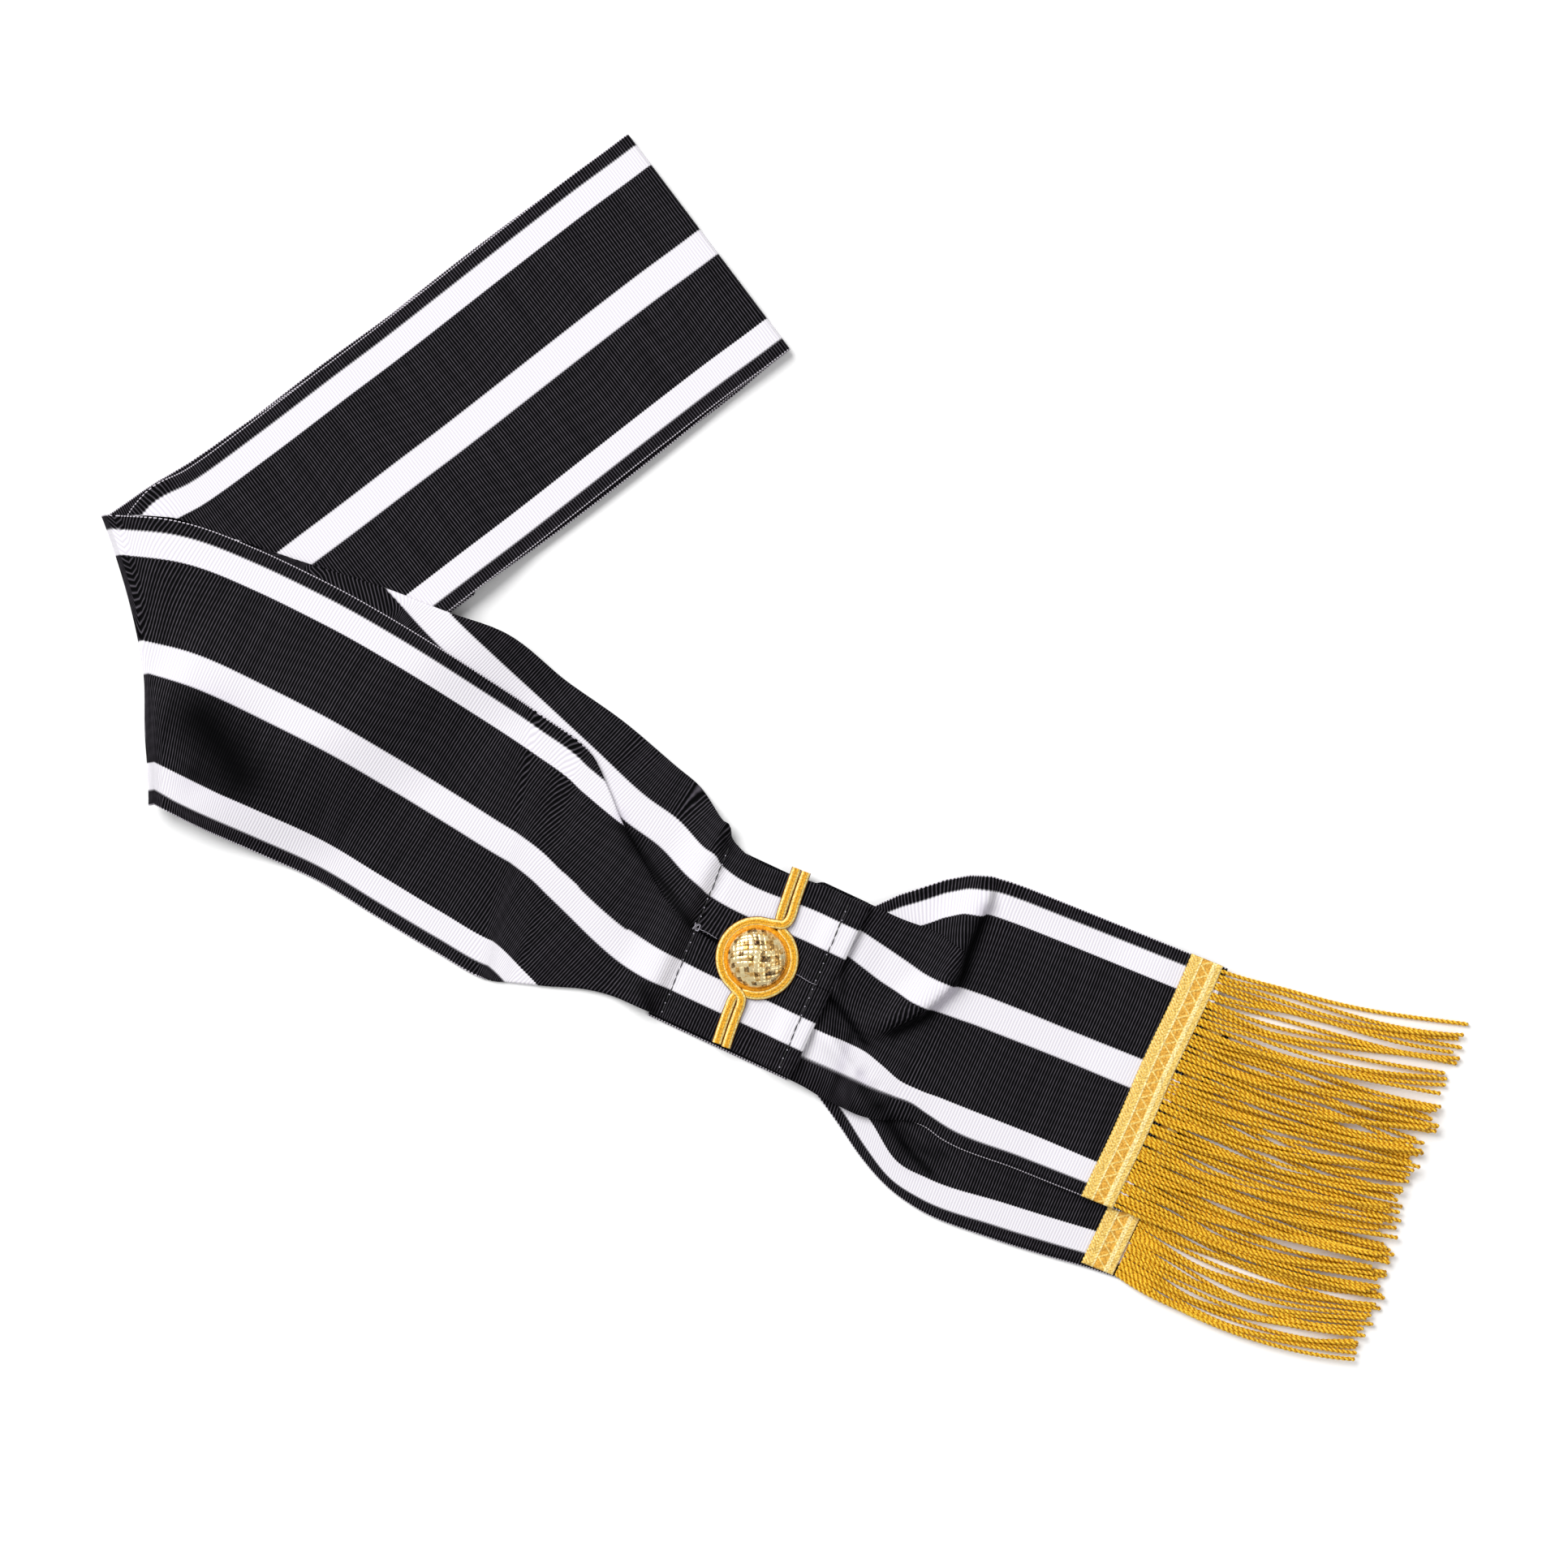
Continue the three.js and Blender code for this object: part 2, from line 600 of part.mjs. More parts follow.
// The front cords come down to the floor where they leave the back fringe.
const backFringeEdge = 0.38 * ribbonWidth;
const backFringeSolid = fringeSolid(backTailRows, 0, backFringe, Infinity);
const frontFringeSolid = fringeSolid(frontTailRows, frontTailEndHeight, frontFringe, backFringeEdge);

const sash = new THREE.Group();

function addPiece(name, geometry, colour, roughness, metalness) {
  const material = new THREE.MeshStandardMaterial({ color: colour, roughness, metalness });
  const mesh = new THREE.Mesh(geometry, material);
  mesh.name = name;
  sash.add(mesh);
}

addPiece('sash_ribbon', sashRibbon(), 0x141316, 0.6, 0);
addPiece('hip_backing', hipBacking(), 0x0e0d10, 0.8, 0);
addPiece('back_tail', tailSolid(backTailRows, rootHeight), 0x17161a, 0.6, 0);
addPiece('front_tail', tailSolid(frontTailRows, frontTailHeight), 0x1a191d, 0.6, 0);
addPiece('back_fringe', backFringeSolid, 0xc8900f, 0.5, 0.3);
addPiece('front_fringe', frontFringeSolid, 0xd39a10, 0.5, 0.3);
addPiece('button_cord', buttonCord(), 0xe0a51c, 0.6, 0);
addPiece('button_rim', buttonRim(), 0xd98a10, 0.4, 0);
addPiece('button_dome', buttonDome(), 0xc9a050, 0.3, 1);

// The origin is the middle of the outline, on the surface that the sash lies on.
const bounds = new THREE.Box3().setFromObject(sash);
const middle = bounds.getCenter(new THREE.Vector3());
sash.position.set(-middle.x, -middle.y, -bounds.min.z);

export default sash;
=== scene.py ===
import math
import random

import bpy
import numpy as np
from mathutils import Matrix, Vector


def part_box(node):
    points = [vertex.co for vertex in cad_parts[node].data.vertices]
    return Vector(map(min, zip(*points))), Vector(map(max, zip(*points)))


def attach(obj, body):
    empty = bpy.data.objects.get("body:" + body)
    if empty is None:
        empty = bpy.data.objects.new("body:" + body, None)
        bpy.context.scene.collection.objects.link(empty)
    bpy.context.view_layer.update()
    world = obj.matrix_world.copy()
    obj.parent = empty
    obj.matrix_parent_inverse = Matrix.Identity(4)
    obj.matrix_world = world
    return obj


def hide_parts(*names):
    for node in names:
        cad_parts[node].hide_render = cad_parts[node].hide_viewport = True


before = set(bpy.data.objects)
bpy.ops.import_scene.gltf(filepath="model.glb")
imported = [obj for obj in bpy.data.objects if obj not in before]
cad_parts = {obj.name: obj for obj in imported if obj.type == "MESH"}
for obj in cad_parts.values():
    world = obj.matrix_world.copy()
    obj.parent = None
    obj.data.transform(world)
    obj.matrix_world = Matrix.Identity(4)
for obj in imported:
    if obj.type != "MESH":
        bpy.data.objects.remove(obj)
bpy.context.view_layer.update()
mm = 0.001
random.seed(12)
print("frame loaded")


def planFrame(originX, originY, headingDegrees):
    heading = math.radians(headingDegrees)
    ax, ay = math.cos(heading), math.sin(heading)

    def at(along, across):
        return originX + ax * along - ay * across, originY + ay * along + ax * across

    def read(x, y):
        dx, dy = x - originX, y - originY
        return dx * ax + dy * ay, dy * ax - dx * ay

    return {"at": at, "read": read, "along": (ax, ay)}


def smooth(low, high, value):
    t = np.clip((value - low) / (high - low), 0, 1)
    return t * t * (3 - 2 * t)


def bell(value, width):
    return np.exp(-((value / width) ** 2))


def curveThrough(keys, place, steps):
    # A smooth curve through the keys, read at the steps.
    slope = np.gradient(keys, place, axis=0)
    k = np.clip(np.searchsorted(place, steps) - 1, 0, len(place) - 2)
    span = (place[k + 1] - place[k])[:, None]
    t = (steps - place[k])[:, None] / span
    return (
        keys[k] * (1 + 2 * t) * (1 - t) ** 2 + slope[k] * span * t * (1 - t) ** 2
        + keys[k + 1] * t * t * (3 - 2 * t) + slope[k + 1] * span * t * t * (t - 1)
    )


def runLength(points):
    return np.concatenate([[0], np.cumsum(np.linalg.norm(np.diff(points, axis=0), axis=1))])


def asRows(columns, values):
    return [dict(zip(columns, row)) for row in values]


def placed(base, along, across, height):
    # Points of a plan frame with their heights, as one list.
    x, y = base["at"](along, across)
    return np.stack([x, y, height + 0 * x], axis=-1).reshape(-1, 3)


def gridFaces(rows, columns):
    corners = [i * columns + j for i in range(rows - 1) for j in range(columns - 1)]
    return [(a, a + 1, a + columns + 1, a + columns) for a in corners]


# Every length is in millimetres until a mesh is made.
sash = {
    "ribbonWidth": 100, "wall": 1.0, "layerGap": 0.3, "clothThickness": 0.62,
    "lowerArmLength": 259, "lowerArmAngle": -25.2, "upperArmLength": 267, "upperArmAngle": 37,
    "foldLineLength": 108.8, "foldLineAngle": 99.4, "hiddenReturnLength": 119, "hiddenFoldInset": 4,
    "hipAngle": -25, "hipLength": 49, "hipBandWidth": 34.5, "hipOverhang": 5.5, "hipSeamGap": 0.4,
    "tailAngle": -22, "tailLength": 113.7, "drapeLength": 45, "foldBow": 6.0, "topLayerSlip": 8,
    "swellHeight": 4.0,
    "columns": 64, "rowSpacing": 2.0, "topRowSpacing": 5.0, "stackRowSpacing": 11.0,
}
pitch = sash["wall"] + sash["layerGap"]
stackLayers = 6
foldInset = 1.5 * pitch + sash["wall"] / 2
hipEnd = sash["hipLength"] / 2 + sash["hipOverhang"]

domeLow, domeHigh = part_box("button_dome")
hipX, hipY = [(domeLow[k] + domeHigh[k]) / 2 / mm for k in (0, 1)]
hip = planFrame(hipX, hipY, sash["hipAngle"])
foldX, foldY = planFrame(hipX, hipY, sash["lowerArmAngle"])["at"](-sash["lowerArmLength"], 0)
lowerArm = planFrame(foldX, foldY, sash["lowerArmAngle"])
upperArm = planFrame(foldX, foldY, sash["upperArmAngle"])
foldLine = planFrame(foldX, foldY, sash["foldLineAngle"] - 90)
tail = planFrame(*hip["at"](hipEnd + 3, 5.4), sash["tailAngle"])


def row(top, low, cutTop=0, cutLow=100, layers=1):
    return [*top, *low, cutTop, cutLow, layers]


def smoothRows(rows, spacing):
    # The rows at even steps: where both edges lie, the cuts of cloth at them, and the layers.
    keys = np.array(rows, float)
    place = runLength((keys[:, 0:2] + keys[:, 2:4]) / 2)
    count = max(2, int(round(place[-1] / spacing)) + 1)
    curve = curveThrough(keys, place, np.linspace(0, place[-1], count))
    curve[:, 4] = np.clip(curve[:, 4], 0, 80)
    curve[:, 5] = np.clip(curve[:, 5], 55, 100)
    curve[:, 6] = np.clip(curve[:, 6], 1, 3)
    return curve


def clothColumns(cuts, count):
    # Places across the cloth, close together where it is folded.
    fine = np.linspace(0, 100, 1001)
    density = np.ones_like(fine)
    for cut in cuts:
        density += 7 * bell(fine - cut, 1.6)
    total = np.concatenate([[0], np.cumsum(density[1:])])
    return np.interp(np.linspace(0, total[-1], count), total, fine)


def creased(distance, rise):
    # Cloth at a distance from a crease: its way in from the edge, and its share of the rise.
    radius = max(rise / 2, 0.05)
    turn = np.clip(distance / (math.pi * radius / 2), -1, 1) * math.pi / 2
    inward = np.maximum(np.abs(distance) - math.pi * radius / 2, 0) + radius * (1 - np.cos(turn))
    return inward, (1 + np.sin(turn)) / 2


def foldedBack(inward, limit):
    # Cloth that is wider than its place turns back again before the other crease.
    return np.abs((inward + limit) % (2 * limit) - limit) if limit > 0 else inward


def armSection(values, height):
    topX, topY, lowX, lowY, cutTop, cutLow, layers = values
    cloth = clothColumns([cutTop, cutLow], sash["columns"])
    half = sash["wall"] / 2
    topFace = layers - half
    lowFlap = half + max(0, layers - 2)
    middle = (cutTop + cutLow) / 2
    inTop, shareTop = creased(cloth - cutTop, topFace - half)
    inLow, shareLow = creased(cutLow - cloth, topFace - lowFlap)
    span = cutLow - cutTop
    inTop, inLow = foldedBack(inTop, span - 1.5), foldedBack(inLow, span - 1.5)
    nearTop = cloth < middle
    share = np.where(nearTop, inTop / span, 1 - inLow / span)
    x = topX + (lowX - topX) * share
    y = topY + (lowY - topY) * share
    lift = np.where(nearTop, half + (topFace - half) * shareTop, lowFlap + (topFace - lowFlap) * shareLow)
    return cloth, np.stack([x, y, height(x, y) + lift], axis=1)


# The stack of the upper arm: along and to the side as shares of its length and of the ribbon's width.
upperArmTable = asRows(("along", "side", "skew"), [
    (0.1, -0.045, 20),
    (0.2, -0.068, 9),
    (0.32, -0.072, 2),
    (0.455, -0.07, 0),
    (0.56, -0.068, 0),
    (0.78, -0.062, 0),
])
upperEnds = {"side": -5.8, "returnSide": -7.0}
layerSlip = {"waveMm": 43, "from": (25, 60), "to": (235, 262)}


def upperRow(along, side, skew):
    half = sash["ribbonWidth"] / 2
    lean = math.tan(math.radians(skew)) * half
    return row(upperArm["at"](along + lean, side + half), upperArm["at"](along - lean, side - half))


def foldRow(inset, layers=1, slip=0):
    half = sash["foldLineLength"] / 2
    return row(foldLine["at"](inset, half - slip), foldLine["at"](inset, -half), layers=layers)


armLength = sash["upperArmLength"]
upperRows = [
    upperRow(r["along"] * armLength, r["side"] * sash["ribbonWidth"], r["skew"]) for r in upperArmTable
]
upperEndRow = upperRow(armLength - foldInset, upperEnds["side"], 0)
returnEndRow = upperRow(sash["hiddenReturnLength"] - (pitch + sash["wall"]) / 2, upperEnds["returnSide"], 0)
stackEdge = np.array([upperArm["read"](r[2], r[3]) for r in [foldRow(0), *upperRows, upperEndRow]])


def stackDrop(x, y):
    # The stack is two layers lower where the hidden return has ended.
    along, _ = upperArm["read"](x, y)
    start, end = [r["along"] * armLength for r in upperArmTable[3:5]]
    return 2 * pitch * smooth(start, end, along)


def supportHeight(x, y):
    # The lower arm lies on the stack and comes down to the table beside it.
    along, across = upperArm["read"](x, y)
    edge = np.interp(along, stackEdge[:, 0], stackEdge[:, 1])
    drape = sash["drapeLength"]
    return stackLayers * pitch * (1 - smooth(0.13 * drape, 1.13 * drape, edge - across))


def upperRun(level, firstRow, shift):
    rows = [firstRow, *upperRows, upperEndRow] if level > 1 else [firstRow, *upperRows[:3], returnEndRow]
    spacing = sash["topRowSpacing"] if level == stackLayers - 1 else sash["stackRowSpacing"]
    ax, ay = upperArm["along"]
    sections = []
    for values in smoothRows(rows, spacing):
        def height(x, y):
            return level * pitch - (stackDrop(x, y) if level > 1 else 0)
        cloth, points = armSection(values, height)
        along, _ = upperArm["read"](points[:, 0], points[:, 1])
        offset = shift * np.sin(along / layerSlip["waveMm"] + level * 1.7)
        offset *= smooth(*layerSlip["from"], along) * (1 - smooth(*layerSlip["to"], along))
        points[:, 0] -= ay * offset
        points[:, 1] += ax * offset
        sections.append((cloth, points))
    return sections


# The lower arm's two ribbons: where both edges lie, and the cuts of cloth at their creases.
frontArmTable = asRows(("topAlong", "topAcross", "lowAlong", "lowAcross", "topCut", "lowCut", "layers"), [
    (-0.03, 0.54, 0.19, -0.44, 0, 100, 1),
    (0.1, 0.58, 0.29, -0.437, 0, 100, 1),
    (0.22, 0.582, 0.385, -0.438, 0, 100, 1),
    (0.34, 0.559, 0.48, -0.465, 0, 100, 1),
    (0.46, 0.52, 0.575, -0.49, 0, 100, 1),
    (0.57, 0.475, 0.659, -0.502, 0, 100, 1.2),
    (0.658, 0.425, 0.7, -0.466, 0, 92, 1.5),
    (0.7, 0.34, 0.745, -0.425, 6, 83, 1.8),
    (0.746, 0.232, 0.79, -0.38, 14.2, 73.5, 2.2),
    (0.797, 0.139, 0.829, -0.357, 20.7, 68, 2.6),
    (0.851, 0.048, 0.865, -0.35, 27, 66.5, 3),
])
backArmTable = asRows(("topAlong", "topAcross", "lowAlong", "lowAcross", "topCut", "lowCut", "layers"), [
    (-0.015, 0.559, 0.12, -0.1, 20, 100, 1),
    (0.06, 0.575, 0.1, 0.15, 50, 100, 1),
    (0.124, 0.595, 0.095, 0.357, 75, 100, 1.2),
    (0.212, 0.626, 0.165, 0.29, 65, 100, 1.5),
    (0.294, 0.653, 0.241, 0.229, 55.5, 100, 2),
    (0.389, 0.671, 0.323, 0.143, 44.5, 100, 2),
    (0.474, 0.692, 0.398, 0.077, 35.4, 100, 2),
    (0.583, 0.627, 0.512, 0.056, 33, 93, 2),
    (0.68, 0.582, 0.621, 0.106, 29.6, 79.6, 2.2),
    (0.776, 0.515, 0.737, 0.133, 28.4, 68, 2.6),
    (0.822, 0.482, 0.795, 0.093, 29.5, 69, 2.8),
    (0.871, 0.407, 0.852, 0.032, 31.8, 69.5, 3),
])


def lowerRow(r):
    # The table's places are shares of the arm's length and of the ribbon's width.
    length, width = sash["lowerArmLength"], sash["ribbonWidth"]
    return row(
        lowerArm["at"](r["topAlong"] * length, r["topAcross"] * width),
        lowerArm["at"](r["lowAlong"] * length, r["lowAcross"] * width),
        r["topCut"], r["lowCut"], r["layers"],
    )


hipStart = -sash["hipLength"] / 2
hipStations = [hipStart, hipEnd - 15, hipEnd - 9, hipEnd]


def hipHeight(along):
    # The joint lies on its backing, and then on the roots of the tails.
    backing = smooth(hipStart - 17, hipStart - 7, along)
    return pitch * backing + 2 * pitch * smooth(hipStations[1], hipStations[2], along)


def hipRows(side, cutTop, cutLow):
    gap = side * sash["hipSeamGap"] / 2
    edges = sorted([gap, gap + side * sash["hipBandWidth"]], reverse=True)
    return [row(hip["at"](a, edges[0]), hip["at"](a, edges[1]), cutTop, cutLow, 3) for a in hipStations]


# The back ribbon's upper corner stands out a little just before the joint.
armCorner = [
    row(hip["at"](a, c), hip["at"](a, sash["hipSeamGap"] / 2), cut, 69.5, 3)
    for a, c, cut in ((-29.4, 39.4, 32.8), (-27.4, 36.2, 33.6))
]
backArmRows = [foldRow(foldInset), *map(lowerRow, backArmTable), *armCorner, *hipRows(1, 33.9, 69.5)]
frontArmRows = [foldRow(foldInset), *map(lowerRow, frontArmTable), *hipRows(-1, 30.5, 67)]
# How far down, and how thick, the back ribbon still carries the front one, along the lower arm.
carrier = {
    "along": [24, 42, 62, 84, 103, 133, 161, 191, 206, 221],
    "across": [-45, -37, -20, -5, 3, 5.6, 10.6, 13.3, 9.3, 3.2],
    "layers": [1, 1, 1.5, 2, 2, 2, 2.2, 2.6, 2.8, 3],
}


hipRelief = {
    "leftDipMm": 0.7, "leftDipAt": 0.4, "rightDipMm": 0.5, "rightDipAt": 23.4,
    "puffMm": 3.0, "puffRise": (-22, -6.5), "puffFall": (-6.5, -0.4),
}


def stitchDip(x, y):
    # The cloth is drawn down along the stitch lines and puffs up before the left one.
    along, _ = hip["read"](x, y)
    inset = along - hipStart
    left = hipRelief["leftDipMm"] * bell(inset - hipRelief["leftDipAt"], 1.5)
    right = hipRelief["rightDipMm"] * bell(along - hipRelief["rightDipAt"], 1.2)
    puff = smooth(*hipRelief["puffRise"], inset) * (1 - smooth(*hipRelief["puffFall"], inset))
    return hipRelief["puffMm"] * puff - left - right


def backArmHeight(x, y):
    return supportHeight(x, y) + hipHeight(hip["read"](x, y)[0]) + stitchDip(x, y)


def frontArmHeight(x, y):
    along, across = lowerArm["read"](x, y)
    edge = np.interp(along, carrier["along"], carrier["across"])
    layers = np.interp(along, carrier["along"], carrier["layers"])
    cover = smooth(-45, -6, across - edge)
    # Towards the joint the two ribbons part and lie side by side.
    parting = 1 - smooth(0.76 * sash["lowerArmLength"], 0.88 * sash["lowerArmLength"], along)
    # Near the left fold the front ribbon swells up off the back one.
    swell = sash["swellHeight"] * smooth(4, 22, along) * (1 - smooth(26, 62, along)) * bell(across + 8, 26)
    return backArmHeight(x, y) + cover * parting * (layers * sash["wall"] + sash["layerGap"]) + swell


def bend(first, last, outward, steps=7):
    # The half turn from one end of the cloth to the layer over or under it.
    sections = []
    for k in range(1, steps):
        turn = math.pi * k / steps
        cloth = first[0] + (last[0] - first[0]) * k / steps
        start, finish = first[1], last[1]
        radius = (start[:, 2] - finish[:, 2]) / 2
        points = start + (finish - start) * (1 - math.cos(turn)) / 2
        points[:, 0] += outward[0] * np.abs(radius) * math.sin(turn)
        points[:, 1] += outward[1] * np.abs(radius) * math.sin(turn)
        sections.append((cloth, points))
    return sections


def sashSections():
    step = sash["rowSpacing"]
    front = [armSection(v, frontArmHeight) for v in smoothRows(frontArmRows, step)][::-1]
    back = [armSection(v, backArmHeight) for v in smoothRows(backArmRows, step)]
    hidden = foldRow(foldInset + sash["hiddenFoldInset"])
    left = [-foldLine["along"][0], -foldLine["along"][1]]
    right = upperArm["along"]
    # The ribbon is one strip: front arm, upper arm, hidden return, back again, back arm.
    runs = [
        front,
        upperRun(4, foldRow(foldInset), 1.6),
        upperRun(3, hidden, 1.2)[::-1],
        upperRun(0, hidden, 0.8),
        upperRun(1, hidden, 1.0)[::-1],
        upperRun(2, hidden, 1.4),
        upperRun(5, foldRow(foldInset, slip=sash["topLayerSlip"]), 0.4)[::-1],
        back,
    ]
    sections = list(runs[0])
    for k, run in enumerate(runs[1:]):
        sections += bend(sections[-1], run[0], left if k % 2 == 0 else right) + run
    return [(cloth, bowed(points)) for cloth, points in sections]


def bowed(points):
    # The left fold is hollow in plan: its middle lies further in than its ends.
    inset, across = foldLine["read"](points[:, 0], points[:, 1])
    share = np.clip(0.5 - across / sash["foldLineLength"], 0, 1)
    shift = sash["foldBow"] * np.sin(math.pi * share) ** 0.9 * (1 - smooth(0, 75, inset))
    points[:, 0] += foldLine["along"][0] * shift
    points[:, 1] += foldLine["along"][1] * shift
    return points


def newPiece(name, points, faces, uvs, material, replaced=()):
    mesh = bpy.data.meshes.new(name)
    mesh.from_pydata([tuple(p * mm) for p in points], [], faces)
    if uvs is not None:
        layer = mesh.uv_layers.new(name="cloth")
        for loop in mesh.loops:
            layer.data[loop.index].uv = uvs[loop.vertex_index]
    mesh.validate()
    mesh.update()
    for face in mesh.polygons:
        face.use_smooth = True
    piece = bpy.data.objects.new(name, mesh)
    bpy.context.scene.collection.objects.link(piece)
    piece.data.materials.append(material)
    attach(piece, "root")
    if replaced:
        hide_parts(*replaced)
    return piece


def thicken(piece, thickness, offset=0):
    solid = piece.modifiers.new("thickness", "SOLIDIFY")
    solid.thickness = thickness * mm
    solid.offset = offset


# Painted crease shade, darkening the cloth along creases: points along and across the tails, the width in
# millimetres and the depth.
creaseShadePaths = {
    "sash_cloth": [
        ([(-100, 26), (-97.9, 22.7), (-59.8, -1.9)], 2.4, 0.9),
        ([(-68, -30), (-62, -37)], 2.5, 0.8),
        ([(-62, 34), (-60, 30)], 2.0, 0.6),
        ([(-257, 2), (-246, -4.7), (-236, -12)], 11, 1.0),
        ([(-252, -18), (-240, -14)], 6, 0.6),
    ],
    "front_tail_cloth": [
        ([(38, 45), (39, 33), (40, 20), (38.4, 12.5), (33, -1), (24, -11)], 2.4, 1.0),
        ([(-7.6, -4.2), (4, -10.2), (16, -18)], 1.7, 0.95),
        ([(10, -15), (9.7, -22.8), (10.7, -29.2), (11.1, -36)], 2.0, 0.7),
        ([(18, -29.4), (24.5, -36), (29.7, -38), (45.7, -49)], 1.8, 1.0),
        ([(-4, 20), (-2, 6), (1, -4)], 1.6, 0.6),
    ],
    "back_tail_cloth": [
        ([(24.5, -36), (45.7, -49), (55.5, -53.2)], 1.8, 1.0),
        ([(39, 58), (39, 50), (40, 44)], 2.0, 0.6),
        ([(58, -46), (49, -47), (40, -44)], 2.2, 0.6),
    ],
}


def paintedCreaseShade(name, points):
    # How much painted crease shade each point gets, by its distance from the crease's path.
    deepest = np.zeros(len(points))
    for places, width, depth in creaseShadePaths.get(name, []):
        path = np.array([tail["at"](*place) for place in places])
        for start, end in zip(path, path[1:]):
            reach = end - start
            share = np.clip((points[:, :2] - start) @ reach / (reach @ reach), 0, 1)
            away = np.linalg.norm(points[:, :2] - start - share[:, None] * reach, axis=1)
            deepest = np.maximum(deepest, depth * bell(away, width))
    return deepest


def clothPiece(name, sections, material, replaced, thickness, square=False):
    # The map holds the place across the cloth in u and along it in v, both in decimetres.
    # In square cloth v follows the cloth's own direction, so the ribs cross the stripes squarely.
    points = np.concatenate([s[1] for s in sections])
    run = [0.0]
    for first, last in zip(sections, sections[1:]):
        run.append(run[-1] + float(np.median(np.linalg.norm(last[1] - first[1], axis=1))))
    length = run[-1]
    middle = np.array([[np.interp(50, s[0], s[1][:, k]) for k in range(3)] for s in sections])
    ahead = np.pad(np.gradient(middle, axis=0), ((1, 1), (0, 0)), "edge")
    ahead = ahead[:-2] + ahead[1:-1] + ahead[2:]
    ahead /= np.linalg.norm(ahead, axis=1)[:, None]
    uvs = []
    for i, (cloth, rowPoints) in enumerate(sections):
        shear = (rowPoints - middle[i]) @ ahead[i] if square else 0 * cloth
        uvs += [(c / 100, (run[i] + v) / 100) for c, v in zip(cloth, shear)]
    faces = gridFaces(len(sections), len(sections[0][0]))
    piece = newPiece(name, points, faces, uvs, material, replaced)
    # Painted shade in the creases, stored for the material.
    marks = piece.data.attributes.new("paintedCreaseShade", "FLOAT", "POINT")
    marks.data.foreach_set("value", paintedCreaseShade(name, points).astype(np.float32))
    thicken(piece, thickness)
    print(name, "cloth", round(length), "mm long")
    return piece, length


def linear(code):
    def channel(value):
        value = value / 255
        return value / 12.92 if value <= 0.04045 else ((value + 0.055) / 1.055) ** 2.4
    return (*[channel(int(code[k:k + 2], 16)) for k in (1, 3, 5)], 1.0)


def addNode(tree, kind, settings=None, links=None):
    # A link from a node takes its first output.
    item = tree.nodes.new("ShaderNode" + kind)
    for key, value in (settings or {}).items():
        if isinstance(key, str) and hasattr(item, key):
            setattr(item, key, value)
        else:
            item.inputs[key].default_value = value
    for key, source in (links or {}).items():
        tree.links.new(getattr(source, "outputs", [source])[0], item.inputs[key])
    return item


def newMaterial(name):
    material = bpy.data.materials.new(name)
    material.use_nodes = True
    tree = material.node_tree
    tree.nodes.clear()
    shader = addNode(tree, "BsdfPrincipled")
    addNode(tree, "OutputMaterial", links={"Surface": shader})
    return material, tree, shader


def rampStops(ramp, stops):
    band = ramp.color_ramp
    while len(band.elements) > 1:
        band.elements.remove(band.elements[-1])
    band.elements[0].position = stops[0][0]
    band.elements[0].color = stops[0][1]
    for place, colour in stops[1:]:
        band.elements.new(place).color = colour


# Rayon grosgrain, woven with a thick weft: fine cross ribs. The light they catch is painted: pale lines on the
# black rib crests, and grey shade in the white's grooves.
ribbonFinish = {
    "black": "#020203", "blackPaintedGlint": "#4E4A51", "white": "#ECEAED", "whiteGrooveShade": "#D2CDD8",
    "selvedge": "#C9C3CC", "selvedgeMm": 0.38, "ribPitchMm": 1.1, "ribDepthMm": 0.16, "ribSway": 1.8,
    "wateredPitchMm": 3.6, "wateredSwayMm": 34, "watered": (0.83, 1.11), "bands": (0.7, 1.15),
    "creaseShadeLoss": 0.95, "glintSharpness": 5.0, "grooveSoftness": 0.6,
    "stripesMm": [(5.1, 14.2), (44.5, 55.5), (85.8, 94.9)], "stripeStepMm": 0.13, "stripeBlurMm": 0.06,
    "roughness": 0.6, "specular": 0.03,
}


